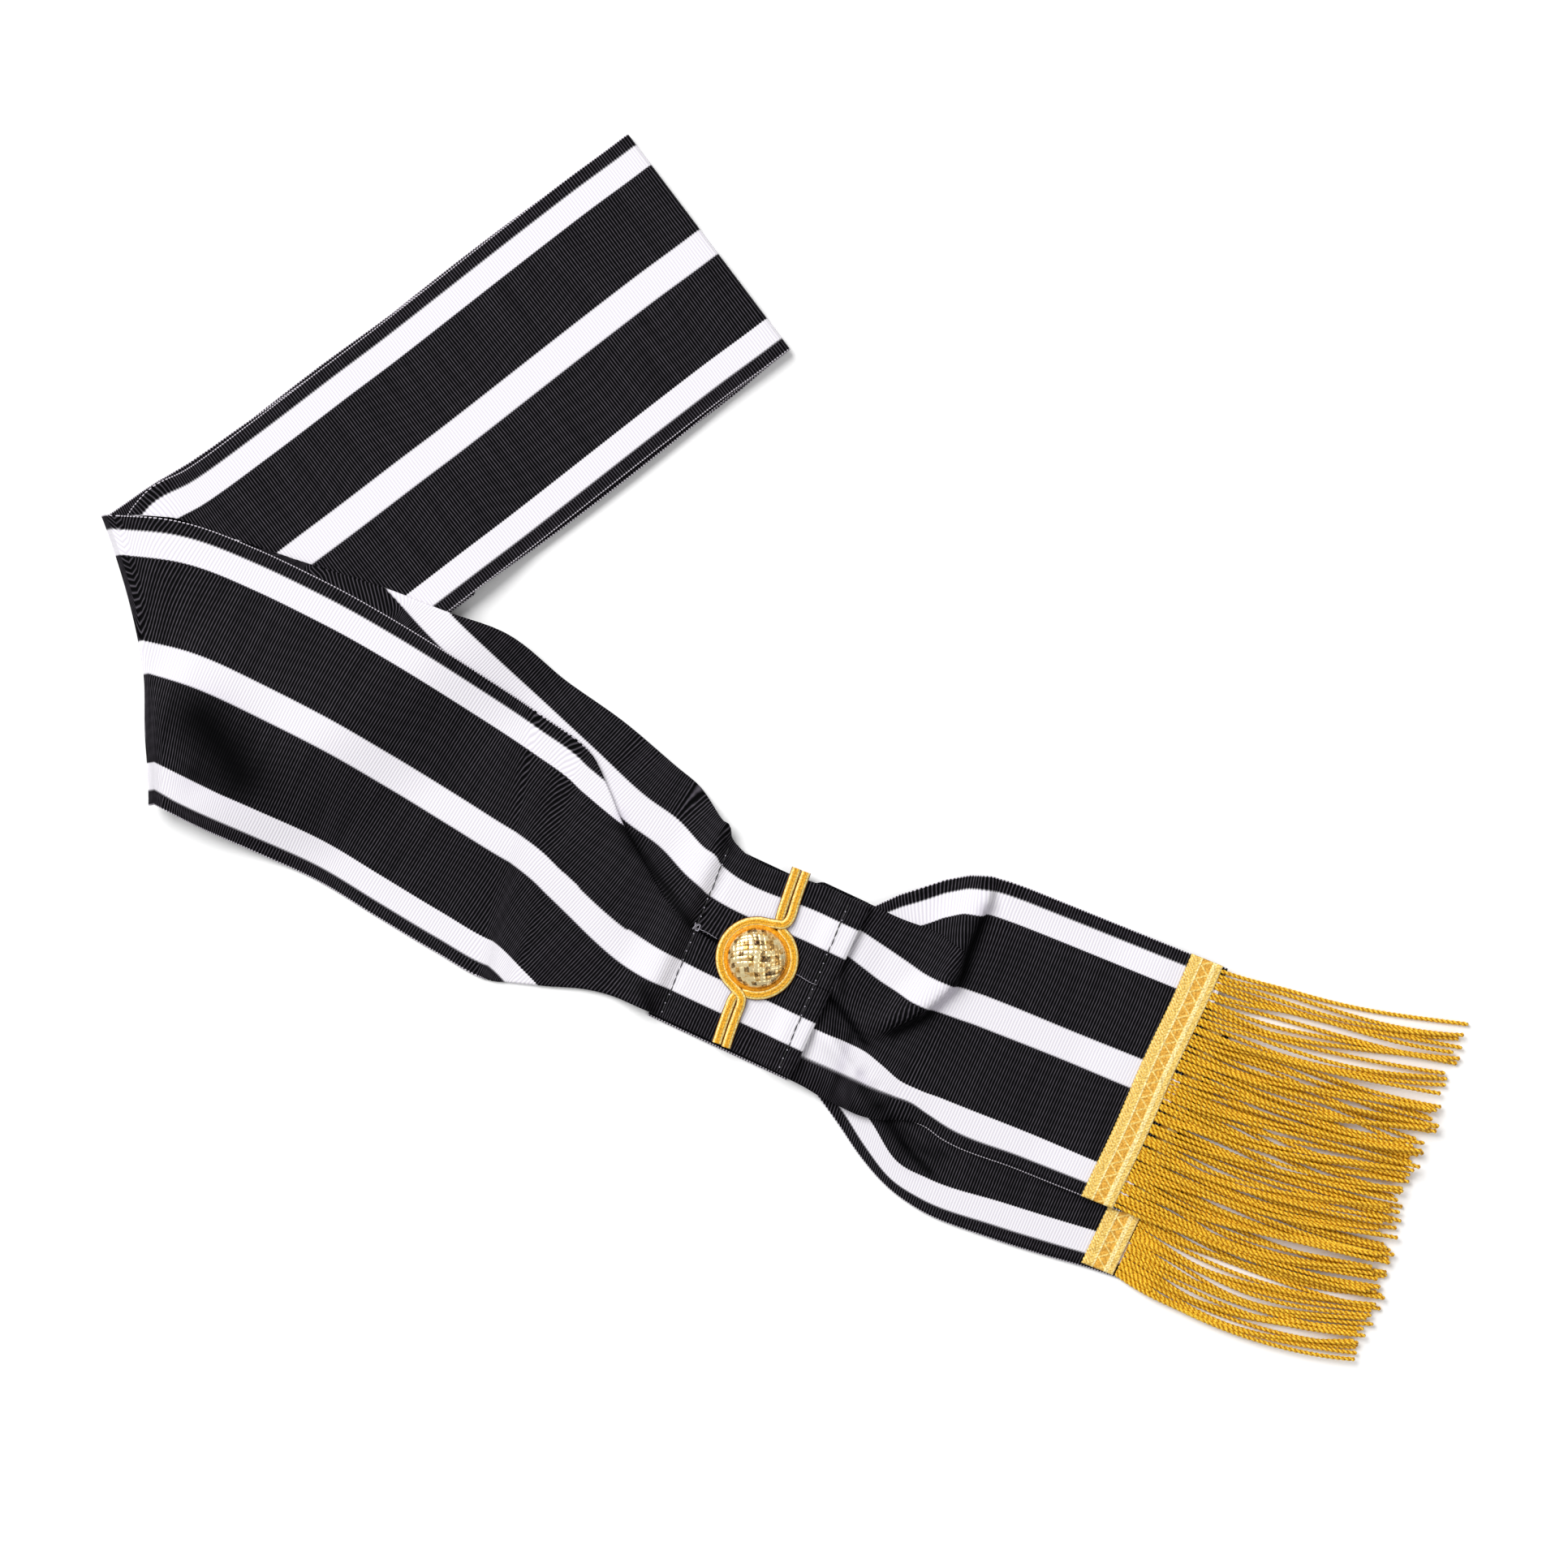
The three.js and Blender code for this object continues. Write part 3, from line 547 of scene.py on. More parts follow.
def grosgrain(name, finish):
    material, tree, shader = newMaterial(name)
    cloth = addNode(tree, "UVMap", {"uv_map": "cloth"})
    split = addNode(tree, "SeparateXYZ", links={0: cloth})
    noise = addNode(tree, "TexNoise", {"Scale": 22.0, "Detail": 3.0}, {"Vector": cloth})
    sway = addNode(tree, "Math", {"operation": "MULTIPLY_ADD", 1: finish["ribSway"], 2: -finish["ribSway"] / 2},
                   {0: noise})
    turns = 2 * math.pi * 100 / finish["ribPitchMm"]
    phase = addNode(tree, "Math", {"operation": "MULTIPLY_ADD", 1: turns}, {0: split.outputs[1], 2: sway})
    wave = addNode(tree, "Math", {"operation": "SINE"}, {0: phase})
    rib = addNode(tree, "Math", {"operation": "MULTIPLY_ADD", 1: 0.5, 2: 0.5}, {0: wave})
    crest = addNode(tree, "Math", {"operation": "POWER", 1: finish["glintSharpness"]}, {0: rib})
    # The stripes' edges step in and out with the ribs.
    edge = addNode(tree, "Math", {"operation": "MULTIPLY_ADD", 1: finish["stripeStepMm"] / 100},
                   {0: wave, 2: split})
    stops = [(0.0, (0, 0, 0, 1))]
    for low, high in finish["stripesMm"]:
        for place, first in ((low, 0), (high, 1)):
            for step, shade in ((-1, first), (1, 1 - first)):
                stops.append(((place + step * finish["stripeBlurMm"]) / 100, (shade, shade, shade, 1)))
    stripe = addNode(tree, "ValToRGB", links={0: edge})
    rampStops(stripe, stops)
    # Broad watered bands come and go along the ribs, dimming and brightening the painted glints.
    stretch = addNode(tree, "Mapping", {"Scale": (3.0, 26.0, 1.0)}, {0: cloth})
    bands = addNode(tree, "TexNoise", {"Scale": 1.0, "Detail": 2.0}, {"Vector": stretch})
    dull, bright = finish["bands"]
    lift = addNode(tree, "MapRange", {1: 0.3, 2: 0.7, 3: dull, 4: bright}, {0: bands})
    # Finer wavy lines run lengthways where the ribs of two layers were squeezed on each other; they too scale
    # the painted glints.
    drift = addNode(tree, "TexNoise", {"Scale": 1.5, "Detail": 1.0}, {"Vector": cloth})
    bent = addNode(tree, "Math", {"operation": "MULTIPLY_ADD", 1: finish["wateredSwayMm"] / 100},
                   {0: drift, 2: split})
    turns = 2 * math.pi * 100 / finish["wateredPitchMm"]
    lines = addNode(tree, "Math", {"operation": "MULTIPLY", 1: turns}, {0: bent})
    ripple = addNode(tree, "Math", {"operation": "SINE"}, {0: lines})
    dull, bright = finish["watered"]
    watered = addNode(tree, "MapRange", {1: -1.0, 2: 1.0, 3: dull, 4: bright}, {0: ripple})
    # Painted crease shade: along these creases the painted rib glints fade and the white greys towards its
    # groove shade.
    mark = addNode(tree, "Attribute", {"attribute_name": "paintedCreaseShade"})
    creaseUnshaded = addNode(tree, "Math", {"operation": "MULTIPLY_ADD", 1: -finish["creaseShadeLoss"], 2: 1.0},
                     {0: mark.outputs["Fac"]})
    wateredUnshaded = addNode(tree, "Math", {"operation": "MULTIPLY"}, {0: watered, 1: creaseUnshaded})
    shine = addNode(tree, "Math", {"operation": "MULTIPLY"}, {0: lift, 1: wateredUnshaded})
    glint = addNode(tree, "Math", {"operation": "MULTIPLY", "use_clamp": True}, {0: crest, 1: shine})
    # Painted highlight: the black is lightened towards a pale grey on the rib crests, as the light they catch.
    low, high = linear(finish["black"]), linear(finish["blackPaintedGlint"])
    dark = addNode(tree, "Mix", {"data_type": "RGBA", 6: low, 7: high}, {0: glint})
    # Painted shade: the white greys in the grooves between the ribs.
    groove = addNode(tree, "Math", {"operation": "POWER", 1: finish["grooveSoftness"]}, {0: rib})
    grooveUnshaded = addNode(tree, "Math", {"operation": "MULTIPLY"}, {0: groove, 1: creaseUnshaded})
    low, high = linear(finish["whiteGrooveShade"]), linear(finish["white"])
    light = addNode(tree, "Mix", {"data_type": "RGBA", 6: low, 7: high}, {0: grooveUnshaded})
    dyed = addNode(tree, "Mix", {"data_type": "RGBA"}, {0: stripe, 6: dark.outputs[2], 7: light.outputs[2]})
    # A pale thread locks each selvedge, seen as dots between the ribs.
    rim = addNode(tree, "Math", {"operation": "PINGPONG", 1: 0.5}, {0: split})
    near = addNode(tree, "Math", {"operation": "LESS_THAN", 1: finish["selvedgeMm"] / 100}, {0: rim})
    dots = addNode(tree, "Math", {"operation": "GREATER_THAN", 1: 0.35}, {0: rib})
    locked = addNode(tree, "Math", {"operation": "MULTIPLY"}, {0: near, 1: dots})
    final = addNode(tree, "Mix", {"data_type": "RGBA", 7: linear(finish["selvedge"])},
                    {0: locked, 6: dyed.outputs[2]})
    bump = addNode(tree, "Bump", {"Strength": 0.6, "Distance": finish["ribDepthMm"] * mm}, {"Height": rib})
    tree.links.new(final.outputs[2], shader.inputs["Base Color"])
    tree.links.new(bump.outputs[0], shader.inputs["Normal"])
    shader.inputs["Roughness"].default_value = finish["roughness"]
    shader.inputs["Specular IOR Level"].default_value = finish["specular"]
    return material


# Gilt thread, brass-coloured foil wound on a core. Its glitter is painted in random specks, and in the cords
# the tones paint shade in the hollows between plies and highlights on the ply crests.
# The tones go with the map's u: the height in cords and braid, the way outwards in the soutache,
# and the place round the button in the satin.
giltFinish = {
    "roughness": 0.45, "specular": 0.25, "grainDepthMm": 0.06,
    "glitter": [(0.35, (0.62, 0.55, 0.45, 1)), (0.55, (1, 1, 1, 1)), (0.7, (1.25, 1.3, 1.5, 1))],
    "glitterMm": {"cord": 0.45, "braid": 0.7, "soutache": 0.6, "satin": 0.5},
    # Cords: painted shade in the hollows between plies, then the gilt, then a painted highlight on the crests.
    "cord": [(0.0, "#6A3C00"), (0.45, "#EAA612"), (1.0, "#FFDC48")],
    "braid": [(0.0, "#DE9E30"), (0.35, "#EFC966"), (0.7, "#FAE398"), (1.0, "#FFF7D0")],
    # Soutache: darker in the middle groove and at the outer foot, both painted shade; the outer threads paler.
    "soutache": [
        (0.0, "#D09018"), (0.1, "#E6A820"), (0.42, "#E8AE28"), (0.56, "#FBE79A"),
        (0.8, "#F4DC84"), (0.9, "#A05C08"), (1.0, "#6A3402"),
    ],
    "satin": [(0.0, "#F2A414"), (1.0, "#E08E0A")],
}


def giltThread(name, kind, finish=giltFinish):
    material, tree, shader = newMaterial(name)
    cloth = addNode(tree, "UVMap", {"uv_map": "cloth"})
    split = addNode(tree, "SeparateXYZ", links={0: cloth})
    place = addNode(tree, "TexCoord")
    grain = addNode(tree, "TexNoise", {"Scale": 1 / (finish["glitterMm"][kind] * mm), "Detail": 2.0},
                    {"Vector": place.outputs["Object"]})
    tone = addNode(tree, "ValToRGB", links={0: split})
    rampStops(tone, [(at, linear(code)) for at, code in finish[kind]])
    # Painted glitter: random specks of the colour darkened or lightened, standing in for the foil's sparkle.
    glitter = addNode(tree, "ValToRGB", links={0: grain})
    rampStops(glitter, finish["glitter"])
    mixed = addNode(tree, "Mix", {"data_type": "RGBA", "blend_type": "MULTIPLY", 0: 1.0},
                    {6: tone, 7: glitter})
    bump = addNode(tree, "Bump", {"Strength": 0.5, "Distance": finish["grainDepthMm"] * mm},
                   {"Height": grain})
    tree.links.new(mixed.outputs[2], shader.inputs["Base Color"])
    tree.links.new(bump.outputs[0], shader.inputs["Normal"])
    shader.inputs["Specular IOR Level"].default_value = finish["specular"]
    shader.inputs["Roughness"].default_value = finish["roughness"]
    return material


# Polyester sewing thread: a fine twist, faintly shiny.
def sewingThread(name, dark, light, twistMm=0.3):
    material, tree, shader = newMaterial(name)
    place = addNode(tree, "TexCoord")
    grain = addNode(tree, "TexNoise", {"Scale": 1 / (twistMm * mm)}, {"Vector": place.outputs["Object"]})
    tone = addNode(tree, "Mix", {"data_type": "RGBA", 6: linear(dark), 7: linear(light)}, {0: grain})
    tree.links.new(tone.outputs[2], shader.inputs["Base Color"])
    shader.inputs["Roughness"].default_value = 0.4
    return material


# Rolled gilt strip, woven: polished brass facets, each turned its own way. Their reflections are painted as a
# random tone per cell, dark brown where a facet would face a dark room, pale where it would face the light.
domeFinish = {
    "tones": [(0.12, "#3E2408"), (0.22, "#8E6024"), (0.42, "#E8AE50"), (0.7, "#FFEBB4")],
    "lineMm": 0.28, "lineDepthMm": 0.05, "streakMm": 1.1, "facetSpread": 0.9, "facetShift": -0.42,
    "metallic": 0.6, "roughness": 0.16,
}


def rolledGilt(name, finish):
    material, tree, shader = newMaterial(name)
    cell = addNode(tree, "UVMap", {"uv_map": "cloth"})
    chance = addNode(tree, "TexWhiteNoise", {"noise_dimensions": "2D"}, {"Vector": cell})
    place = addNode(tree, "TexCoord")
    streak = addNode(tree, "TexNoise", {"Scale": 1 / (finish["streakMm"] * mm), "Detail": 3.0},
                     {"Vector": place.outputs["Object"]})
    mixed = addNode(tree, "Math", {"operation": "MULTIPLY_ADD", 1: finish["facetSpread"]},
                    {0: chance, 2: streak})
    shifted = addNode(tree, "Math", {"operation": "ADD", 1: finish["facetShift"]}, {0: mixed})
    # Painted reflections: each woven cell's random tone, streaked.
    tone = addNode(tree, "ValToRGB", links={0: shifted})
    rampStops(tone, [(at, linear(code)) for at, code in finish["tones"]])
    lines = addNode(tree, "TexNoise", {"Scale": 1 / (finish["lineMm"] * mm)},
                    {"Vector": place.outputs["Object"]})
    bump = addNode(tree, "Bump", {"Strength": 0.7, "Distance": finish["lineDepthMm"] * mm}, {"Height": lines})
    tree.links.new(tone.outputs[0], shader.inputs["Base Color"])
    tree.links.new(bump.outputs[0], shader.inputs["Normal"])
    shader.inputs["Metallic"].default_value = finish["metallic"]
    shader.inputs["Roughness"].default_value = finish["roughness"]
    return material


ribbonCloth = grosgrain("rayon grosgrain, woven", ribbonFinish)
# The backing is black all over, with dimmer painted glints on its ribs.
backingFinish = {**ribbonFinish, "stripesMm": [(99.7, 99.9)], "blackPaintedGlint": "#2C2A30"}
backingCloth = grosgrain("rayon grosgrain, woven black", backingFinish)
fringeGilt = giltThread("gilt thread, twisted cord", "cord")
braidGilt = giltThread("gilt thread, flat braid", "braid")
cordGilt = giltThread("gilt thread, soutache", "soutache")
rimSatin = giltThread("gilt satin stitch", "satin")
domeGilt = rolledGilt("rolled gilt strip, woven", domeFinish)
darkThread = sewingThread("polyester thread, black", "#050506", "#18171A")
# Silver grey thread for the seam and knot; the same pale material paints the stitches' glints.
paleThreadAndGlints = sewingThread("polyester thread, silver grey, and painted glints", "#55525A", "#C8C4D0")


sashRibbon, sashLength = clothPiece(
    "sash_cloth", sashSections(), ribbonCloth, ["sash_ribbon"], sash["clothThickness"], square=True,
)
print("ribbon made")


# The tails: across each station, where the edge, folds and stripes lie.
frontTailTable = asRows((
    "along", "flap", "w2Top", "w2Low", "w3Top", "w3Low", "edge", "fan", "lean", "layers",
), [
    (-8, 30.7, 21, 11.6, -19.3, -30.1, -40.6, -5, 8, 1.6),
    (0, 30.6, 20.3, 10.0, -19.5, -30.1, -41.0, -5, 8, 1.6),
    (7, 30.1, 18.9, 8.0, -19.8, -30.2, -41.6, -7, 8, 1.6),
    (13, 30.0, 17.6, 6.2, -19.9, -30.2, -42.6, -9, 7, 1.7),
    (21, 30.3, 15.8, 4.5, -20.6, -30.4, -43.4, -10, 6, 2),
    (28, 30.0, 14.2, 3.0, -23.0, -30.9, -43.6, -8, 6, 2),
    (35.5, 27.4, 13.8, 3.2, -26, -31, -42.0, -5, 5, 1.8),
    (43, 28.6, 14.7, 3.6, -26.6, -31.3, -39.0, -2, 4, 1.4),
    (50, 28.8, 14.9, 3.7, -26.6, -33.6, -38.6, 0, 4, 1.1),
    (58, 29, 15, 3.8, -26.5, -35.4, -40.5, 0, 4, 1),
    (88, 29, 14.8, 4, -26.3, -35.4, -40.5, 0, 4, 1),
    (113.7, 28.9, 14.9, 3.7, -26.7, -35.1, -40.4, 0, 4.1, 1),
    (130.4, 28.9, 14.9, 3.7, -26.7, -35.1, -40.4, 0, 4.1, 1),
])
frontTopEdge = {
    "along": [-12, 0, 7, 13, 21, 28.7, 36.2, 43.9, 51.4, 140],
    "across": [20, 30.6, 38, 42.9, 49.6, 54.4, 57.1, 57.9, 58.2, 58.2],
}
# Where the flap's crease lies in the cloth, and how high its folded layer stands.
flap = {"along": [0, 30, 40], "cut": [31.2, 29.2, 30], "flatFrom": 40, "underMm": 0.35}
backTailTable = asRows(("along", "top", "w3Top", "w3Low", "edge", "lean"), [
    (-6, 24, -22, -30, -34.5, 2),
    (3.4, 26, -30, -37.5, -42.0, -4),
    (12.3, 29, -36, -43.5, -48.8, -8),
    (26, 31, -44.2, -53.3, -57.9, -8),
    (41, 32, -54.3, -61.2, -64.6, -5),
    (56, 32, -56.2, -64.0, -68.0, -2),
    (86, 32.5, -54, -62.9, -68.0, 1),
    (109, 33.6, -52.2, -61.1, -66.4, 4),
    (126, 34.6, -50.6, -59.5, -64.6, 4.3),
    (138.4, 35.2, -49.6, -58.5, -63.8, 4.3),
])
creaseValley = {
    "across": [-60, -39.6, -30.6, -18, -5.6, 3.7, 16.3, 27.2, 43.6, 58],
    "along": [56, 33, 20, 16, 24.8, 31.7, 37.5, 35.6, 36.8, 38], "ridgeMm": 5.2, "valleyMm": 0.5, "leanMm": 2.2,
}
lowValley = {
    "across": [-60, -50.4, -31, -26.8, -22.7, -12], "along": [58, 46.9, 22.4, 14.3, 8.4, -4], "ridgeMm": 2.6,
}
pleat = {"from": (-7.6, -4.2), "to": (16.0, -18.0), "heightMm": 2.8}
backTopEdge = {
    "along": [-10.2, 0, 11.4, 25, 45.5, 79.6, 128.3],
    "across": [25, 25, 27, 29, 31, 33, 34.6],
    "layers": [1, 1, 1.5, 1.5, 1, 1, 1],
}
braid = {"widthMm": 12.5, "thicknessMm": 1.4}
backHeadTop = sash["wall"] + sash["layerGap"] + braid["thicknessMm"]
frontTailEnd = backHeadTop + sash["layerGap"]


def rootHeight(along):
    return pitch * (1 - smooth(0, 0.11 * sash["tailLength"], along))


def frontTailHeight(along, across):
    edge = np.interp(along, backTopEdge["along"], backTopEdge["across"])
    layers = np.interp(along, backTopEdge["along"], backTopEdge["layers"])
    beyond = smooth(4, 22, across - edge)
    length = sash["tailLength"]
    carried = rootHeight(along) + (layers + sash["layerGap"]) * (1 - beyond * smooth(0, 0.2, along / length))
    rise = smooth(0.76 * length, 0.98 * length, along)
    return carried + (frontTailEnd - carried) * rise


def tableRows(table, spacing):
    # Every column of a table, read smoothly at even steps along.
    names = list(table[0])
    keys = np.array([[r[n] for n in names] for r in table], float)
    place = keys[:, 0]
    steps = np.linspace(place[0], place[-1], int((place[-1] - place[0]) / spacing) + 1)
    return asRows(names, curveThrough(keys, place, steps))


fineCloth = np.linspace(0, 100, 401)


def rounded(values):
    # Soften corners over about two millimetres of cloth.
    kernel = np.hanning(9)
    padded = np.concatenate([2 * values[0] - values[4:0:-1], values, 2 * values[-1] - values[-2:-6:-1]])
    return np.convolve(padded, kernel / kernel.sum(), mode="valid")


def tailSection(cuts, across, along, lift, height, relief):
    cloth = clothColumns(cuts, sash["columns"])
    c = np.interp(cloth, fineCloth, rounded(across))
    a = np.interp(cloth, fineCloth, rounded(along))
    z = np.interp(cloth, fineCloth, rounded(lift))
    raised, forward = relief(a, c)
    return cloth, placed(tail, a + forward, c, height(a, c) + z + raised)


def lowCrease(along, across):
    # A second crease runs from the lower white stripe down across both tails.
    past = along - np.interp(across, lowValley["across"], lowValley["along"])
    reach = smooth(-58, -47, across) * (1 - smooth(-23, -15, across))
    return lowValley["ridgeMm"] * smooth(-16, -2.5, past) ** 1.5 * (1 - smooth(-2.5, 2.5, past)) * reach


def frontRelief(along, across):
    # The root side of the crease stands up and drops steeply into a valley.
    past = along - np.interp(across, creaseValley["across"], creaseValley["along"])
    reach = smooth(-18, -2, across) * (1 - smooth(46, 60, across))
    ridge = creaseValley["ridgeMm"] * smooth(-17, -1.2, past) ** 1.5 * (1 - smooth(-1.4, 2.0, past))
    ridge = ridge - creaseValley["valleyMm"] * bell(past - 4, 3.0)
    # A fold of the cloth runs down from the seam, with a pocket under its edge.
    (a0, c0), (a1, c1) = pleat["from"], pleat["to"]
    length = math.hypot(a1 - a0, c1 - c0)
    run = ((along - a0) * (a1 - a0) + (across - c0) * (c1 - c0)) / length
    above = ((across - c0) * (a1 - a0) - (along - a0) * (c1 - c0)) / length
    reached = smooth(-6, 4, run) * (1 - smooth(length - 7, length + 5, run))
    ledge = smooth(-0.2, 1.6, above) * (1 - smooth(3, 17, above)) - 0.3 * bell(above + 2, 2.0)
    raised = ridge * reach + lowCrease(along, across) + pleat["heightMm"] * ledge * reached
    return raised, creaseValley["leanMm"] * bell(past + 0.8, 2.4) * reach


def frontTailSections():
    sections = []
    rows = tableRows(frontTailTable, 0.9)
    stations = [r["along"] for r in rows]
    for s in rows:
        flapCut = np.interp(s["along"], flap["along"], flap["cut"])
        topAlong = s["along"] + s["fan"]
        topAcross = np.interp(topAlong, frontTopEdge["along"], frontTopEdge["across"])
        reach = math.copysign(math.hypot(s["fan"], topAcross - s["flap"]), topAcross - s["flap"])
        valleyCut = min(flapCut - 0.05, max(3, (flapCut + reach) / 2))
        if s["along"] > flap["flatFrom"]:
            valleyCut = flapCut - 0.05
        depth = flapCut - valleyCut

        def shifted(cloth):
            tilt = 9.5 * (1 - smooth(24, 46, s["along"])) * (0.3 - cloth / 100)
            return tilt + 13 * smooth(60, 105, cloth) * (1 - smooth(4, 36, s["along"]))

        cuts = {"w2Top": 44.5, "w2Low": 55.5, "w3Top": 85.8, "w3Low": 94.9, "edge": 100}
        places = [
            np.interp(s["along"] + shifted(cut), stations, [r[key] for r in rows]) for key, cut in cuts.items()
        ]
        across = np.interp(
            fineCloth, [0, valleyCut, flapCut, *cuts.values()],
            [topAcross, s["flap"] - depth, s["flap"], *places],
        )
        along = s["along"] + (s["lean"] * (0.3 - fineCloth / 100) + shifted(fineCloth)) * (fineCloth > flapCut)
        along = along + s["fan"] * np.clip(1 - fineCloth / valleyCut, 0, 1)
        folded = min(1, depth / 2.5)
        under, top = flap["underMm"], s["layers"] - 0.5
        middle = (top + under) / 2
        lift = np.interp(
            fineCloth, [0, valleyCut - 1, valleyCut + 1, flapCut - 1, flapCut + 1, 100],
            [under, under, middle, middle, top, top],
        )
        lift = lift * folded + top * (1 - folded)
        cloth, points = tailSection([valleyCut, flapCut], across, along, lift, frontTailHeight, frontRelief)
        turnedUnder = 0.5 * (1 - smooth(44, 52, s["along"]))
        sections.append((cloth * (1 - turnedUnder / 100), points))
    return sections


def backRelief(along, across):
    return lowCrease(along, across), 0


def backTailSections():
    sections = []
    for s in tableRows(backTailTable, 1.8):
        across = np.interp(fineCloth, [0, 85.8, 94.9, 100], [s["top"], s["w3Top"], s["w3Low"], s["edge"]])
        along = s["along"] + s["lean"] * (0.5 - fineCloth / 100)
        lift = np.full_like(fineCloth, 0.5)
        sections.append(tailSection([50], across, along, lift, lambda a, c: rootHeight(a), backRelief))
    return sections


frontTail, frontLength = clothPiece(
    "front_tail_cloth", frontTailSections(), ribbonCloth, ["front_tail"], sash["clothThickness"],
)
backTail, backLength = clothPiece(
    "back_tail_cloth", backTailSections(), ribbonCloth, ["back_tail"], sash["clothThickness"],
)
print("tails made")


def evenPath(points, step):
    path = np.array(points, float)
    place = runLength(path)
    along = np.linspace(0, place[-1], max(3, int(place[-1] / step) + 1))
    return along, np.stack([np.interp(along, place, path[:, k]) for k in range(3)], axis=1)


def curved(points, count=60):
    keys = np.array(points, float)
    place = runLength(keys)
    return curveThrough(keys, place, np.linspace(0, place[-1], count))


def swept(line, sideways, upwards):
    # Rings of points about a line: sideways and upwards hold each ring's offsets.
    heading = np.gradient(line, axis=0)
    heading /= np.linalg.norm(heading, axis=1)[:, None]
    side = np.stack([-heading[:, 1], heading[:, 0], np.zeros(len(line))], axis=1)
    side /= np.linalg.norm(side, axis=1)[:, None]
    up = np.cross(heading, side)
    rings = line[:, None, :] + side[:, None, :] * sideways[:, :, None] + up[:, None, :] * upwards[:, :, None]
    return rings.reshape(-1, 3)


def threadTube(line, radius, sides=6):
    turn = np.linspace(0, 2 * math.pi, sides, endpoint=False)
    return swept(line, radius * np.cos(turn), radius * np.sin(turn))


def tubeFaces(first, rings, sides):
    faces = []
    for r in range(rings - 1):
        for k in range(sides):
            p = first + r * sides + k
            q = first + r * sides + (k + 1) % sides
            faces.append((p, q, q + sides, p + sides))
    faces.append(tuple(first + k for k in range(sides))[::-1])
    faces.append(tuple(first + (rings - 1) * sides + k for k in range(sides)))
    return faces


# The fringe is of two-ply gilt cords, and its tips lie in an uneven row.
fringe = {
    "cords": 60, "ringMm": 0.36, "sides": 6, "plyMm": 0.86, "waistMm": 0.6, "turnMm": 2.0,
    "bundleMm": 1.3, "strayMm": 0.6, "layerMm": 0.75, "spreadMm": 1.5, "tipMm": (-3.5, 2.5),
}
fringeTips = {
    "front": {
        "across": [73, 65, 54, 41, 31, 22, 12, -2, -13, -33],
        "along": [221, 221, 221, 222, 223, 222, 222, 219, 222, 224], "sag": 3.0, "crowding": 0.03,
    },
    "back": {
        "across": [36, 10, -10, -23, -33, -42, -50, -57],
        "along": [222, 222, 224, 227, 230, 228, 228, 229], "sag": 6.3, "crowding": 0.13,
    },
}


def fringePiece(name, layer, root, floor, rise, replaced):
    tips = fringeTips[layer]
    order = np.argsort(tips["across"])
    tipAcross, tipAlong = np.array(tips["across"])[order], np.array(tips["along"])[order]
    points, faces, uvs = [], [], []
    sides = fringe["sides"]
    angles = np.linspace(0, 2 * math.pi, sides, endpoint=False)
    total = 0
    for i in range(fringe["cords"]):
        share = (i + 0.5) / fringe["cords"]
        share += tips["crowding"] * math.sin(math.pi * share)
        c0 = root["top"] + (root["low"] - root["top"]) * share
        a0 = root["along"] - root["lean"] * share
        c1 = tipAcross[-1] + (tipAcross[0] - tipAcross[-1]) * share
        c1 += random.uniform(-fringe["spreadMm"], fringe["spreadMm"])
        a1 = np.interp(c1, tipAcross, tipAlong) + random.uniform(*fringe["tipMm"])
        stray = random.uniform(-1, 1) * fringe["strayMm"]
        t = np.linspace(0, 1, 40)
        a = a0 + (a1 - a0) * t
        bundle = np.sin(i * 1.3 + 3.4 * t) + 0.6 * np.sin(i * 0.57 - 5.1 * t + 1)
        c = c0 + (c1 - c0) * t ** 1.7 - tips["sag"] * share * np.sin(math.pi * t)
        c = c + fringe["bundleMm"] * bundle * smooth(0.03, 0.35, t) + stray * np.sin(8 * t + i)
        z = floor(c) + (rise - floor(c)) * (1 - smooth(0, 0.25, t))
        z = z + fringe["plyMm"] + fringe["layerMm"] * (i % 3) * smooth(0, 0.2, t)
        along, line = evenPath(placed(tail, a, c, z), fringe["ringMm"])
        twist = 2 * math.pi * along[:, None] / fringe["turnMm"] + random.uniform(0, 6)
        lobe = ((1 + np.cos(2 * angles[None, :] - twist)) / 2) ** 0.8
        radius = fringe["waistMm"] + (fringe["plyMm"] - fringe["waistMm"]) * lobe
        radius = radius * np.clip(np.minimum(along, along[-1] - along) / 0.6 + 0.4, 0, 1)[:, None]
        points.append(threadTube(line, radius, sides))
        faces += tubeFaces(total, len(line), sides)
        uvs += [(value, place / 100) for place, ring in zip(along, lobe) for value in ring]
        total += len(points[-1])
    return newPiece(name, np.concatenate(points), faces, uvs, fringeGilt, replaced)


def frontFloor(across):
    return 1.9 * (1 - smooth(36, 46, across))


braidEnd = {"front": 115.9 + braid["widthMm"], "back": 125.5 + braid["widthMm"]}
frontRoot = {"along": braidEnd["front"] - 0.6, "lean": 4.1, "top": 57.3, "low": -39.6}
backRoot = {"along": braidEnd["back"] + 0.3, "lean": 4.1, "top": 34, "low": -63.4}
fringePiece("front_fringe_cords", "front", frontRoot, frontFloor, frontTailEnd, ["front_fringe"])
fringePiece("back_fringe_cords", "back", backRoot, lambda c: c * 0, 0.2, ["back_fringe"])
print("fringe made")


# A flat woven braid covers each tail's cut end.
braidWeave = {
    "stepMm": 0.28, "columns": 34, "scallopMm": 1.75, "scallopDepthMm": 0.28, "zigzagMm": 5.4, "plaitMm": 1.3,
    "lines": [4.1, 8.9, 9.7], "zigzag": (4.7, 8.3), "edge": 12.1, "ridgeMm": 0.16, "plaitHighMm": 0.08,
    "openingMm": 0.12, "highMm": 0.95, "stripMm": 0.5,
}


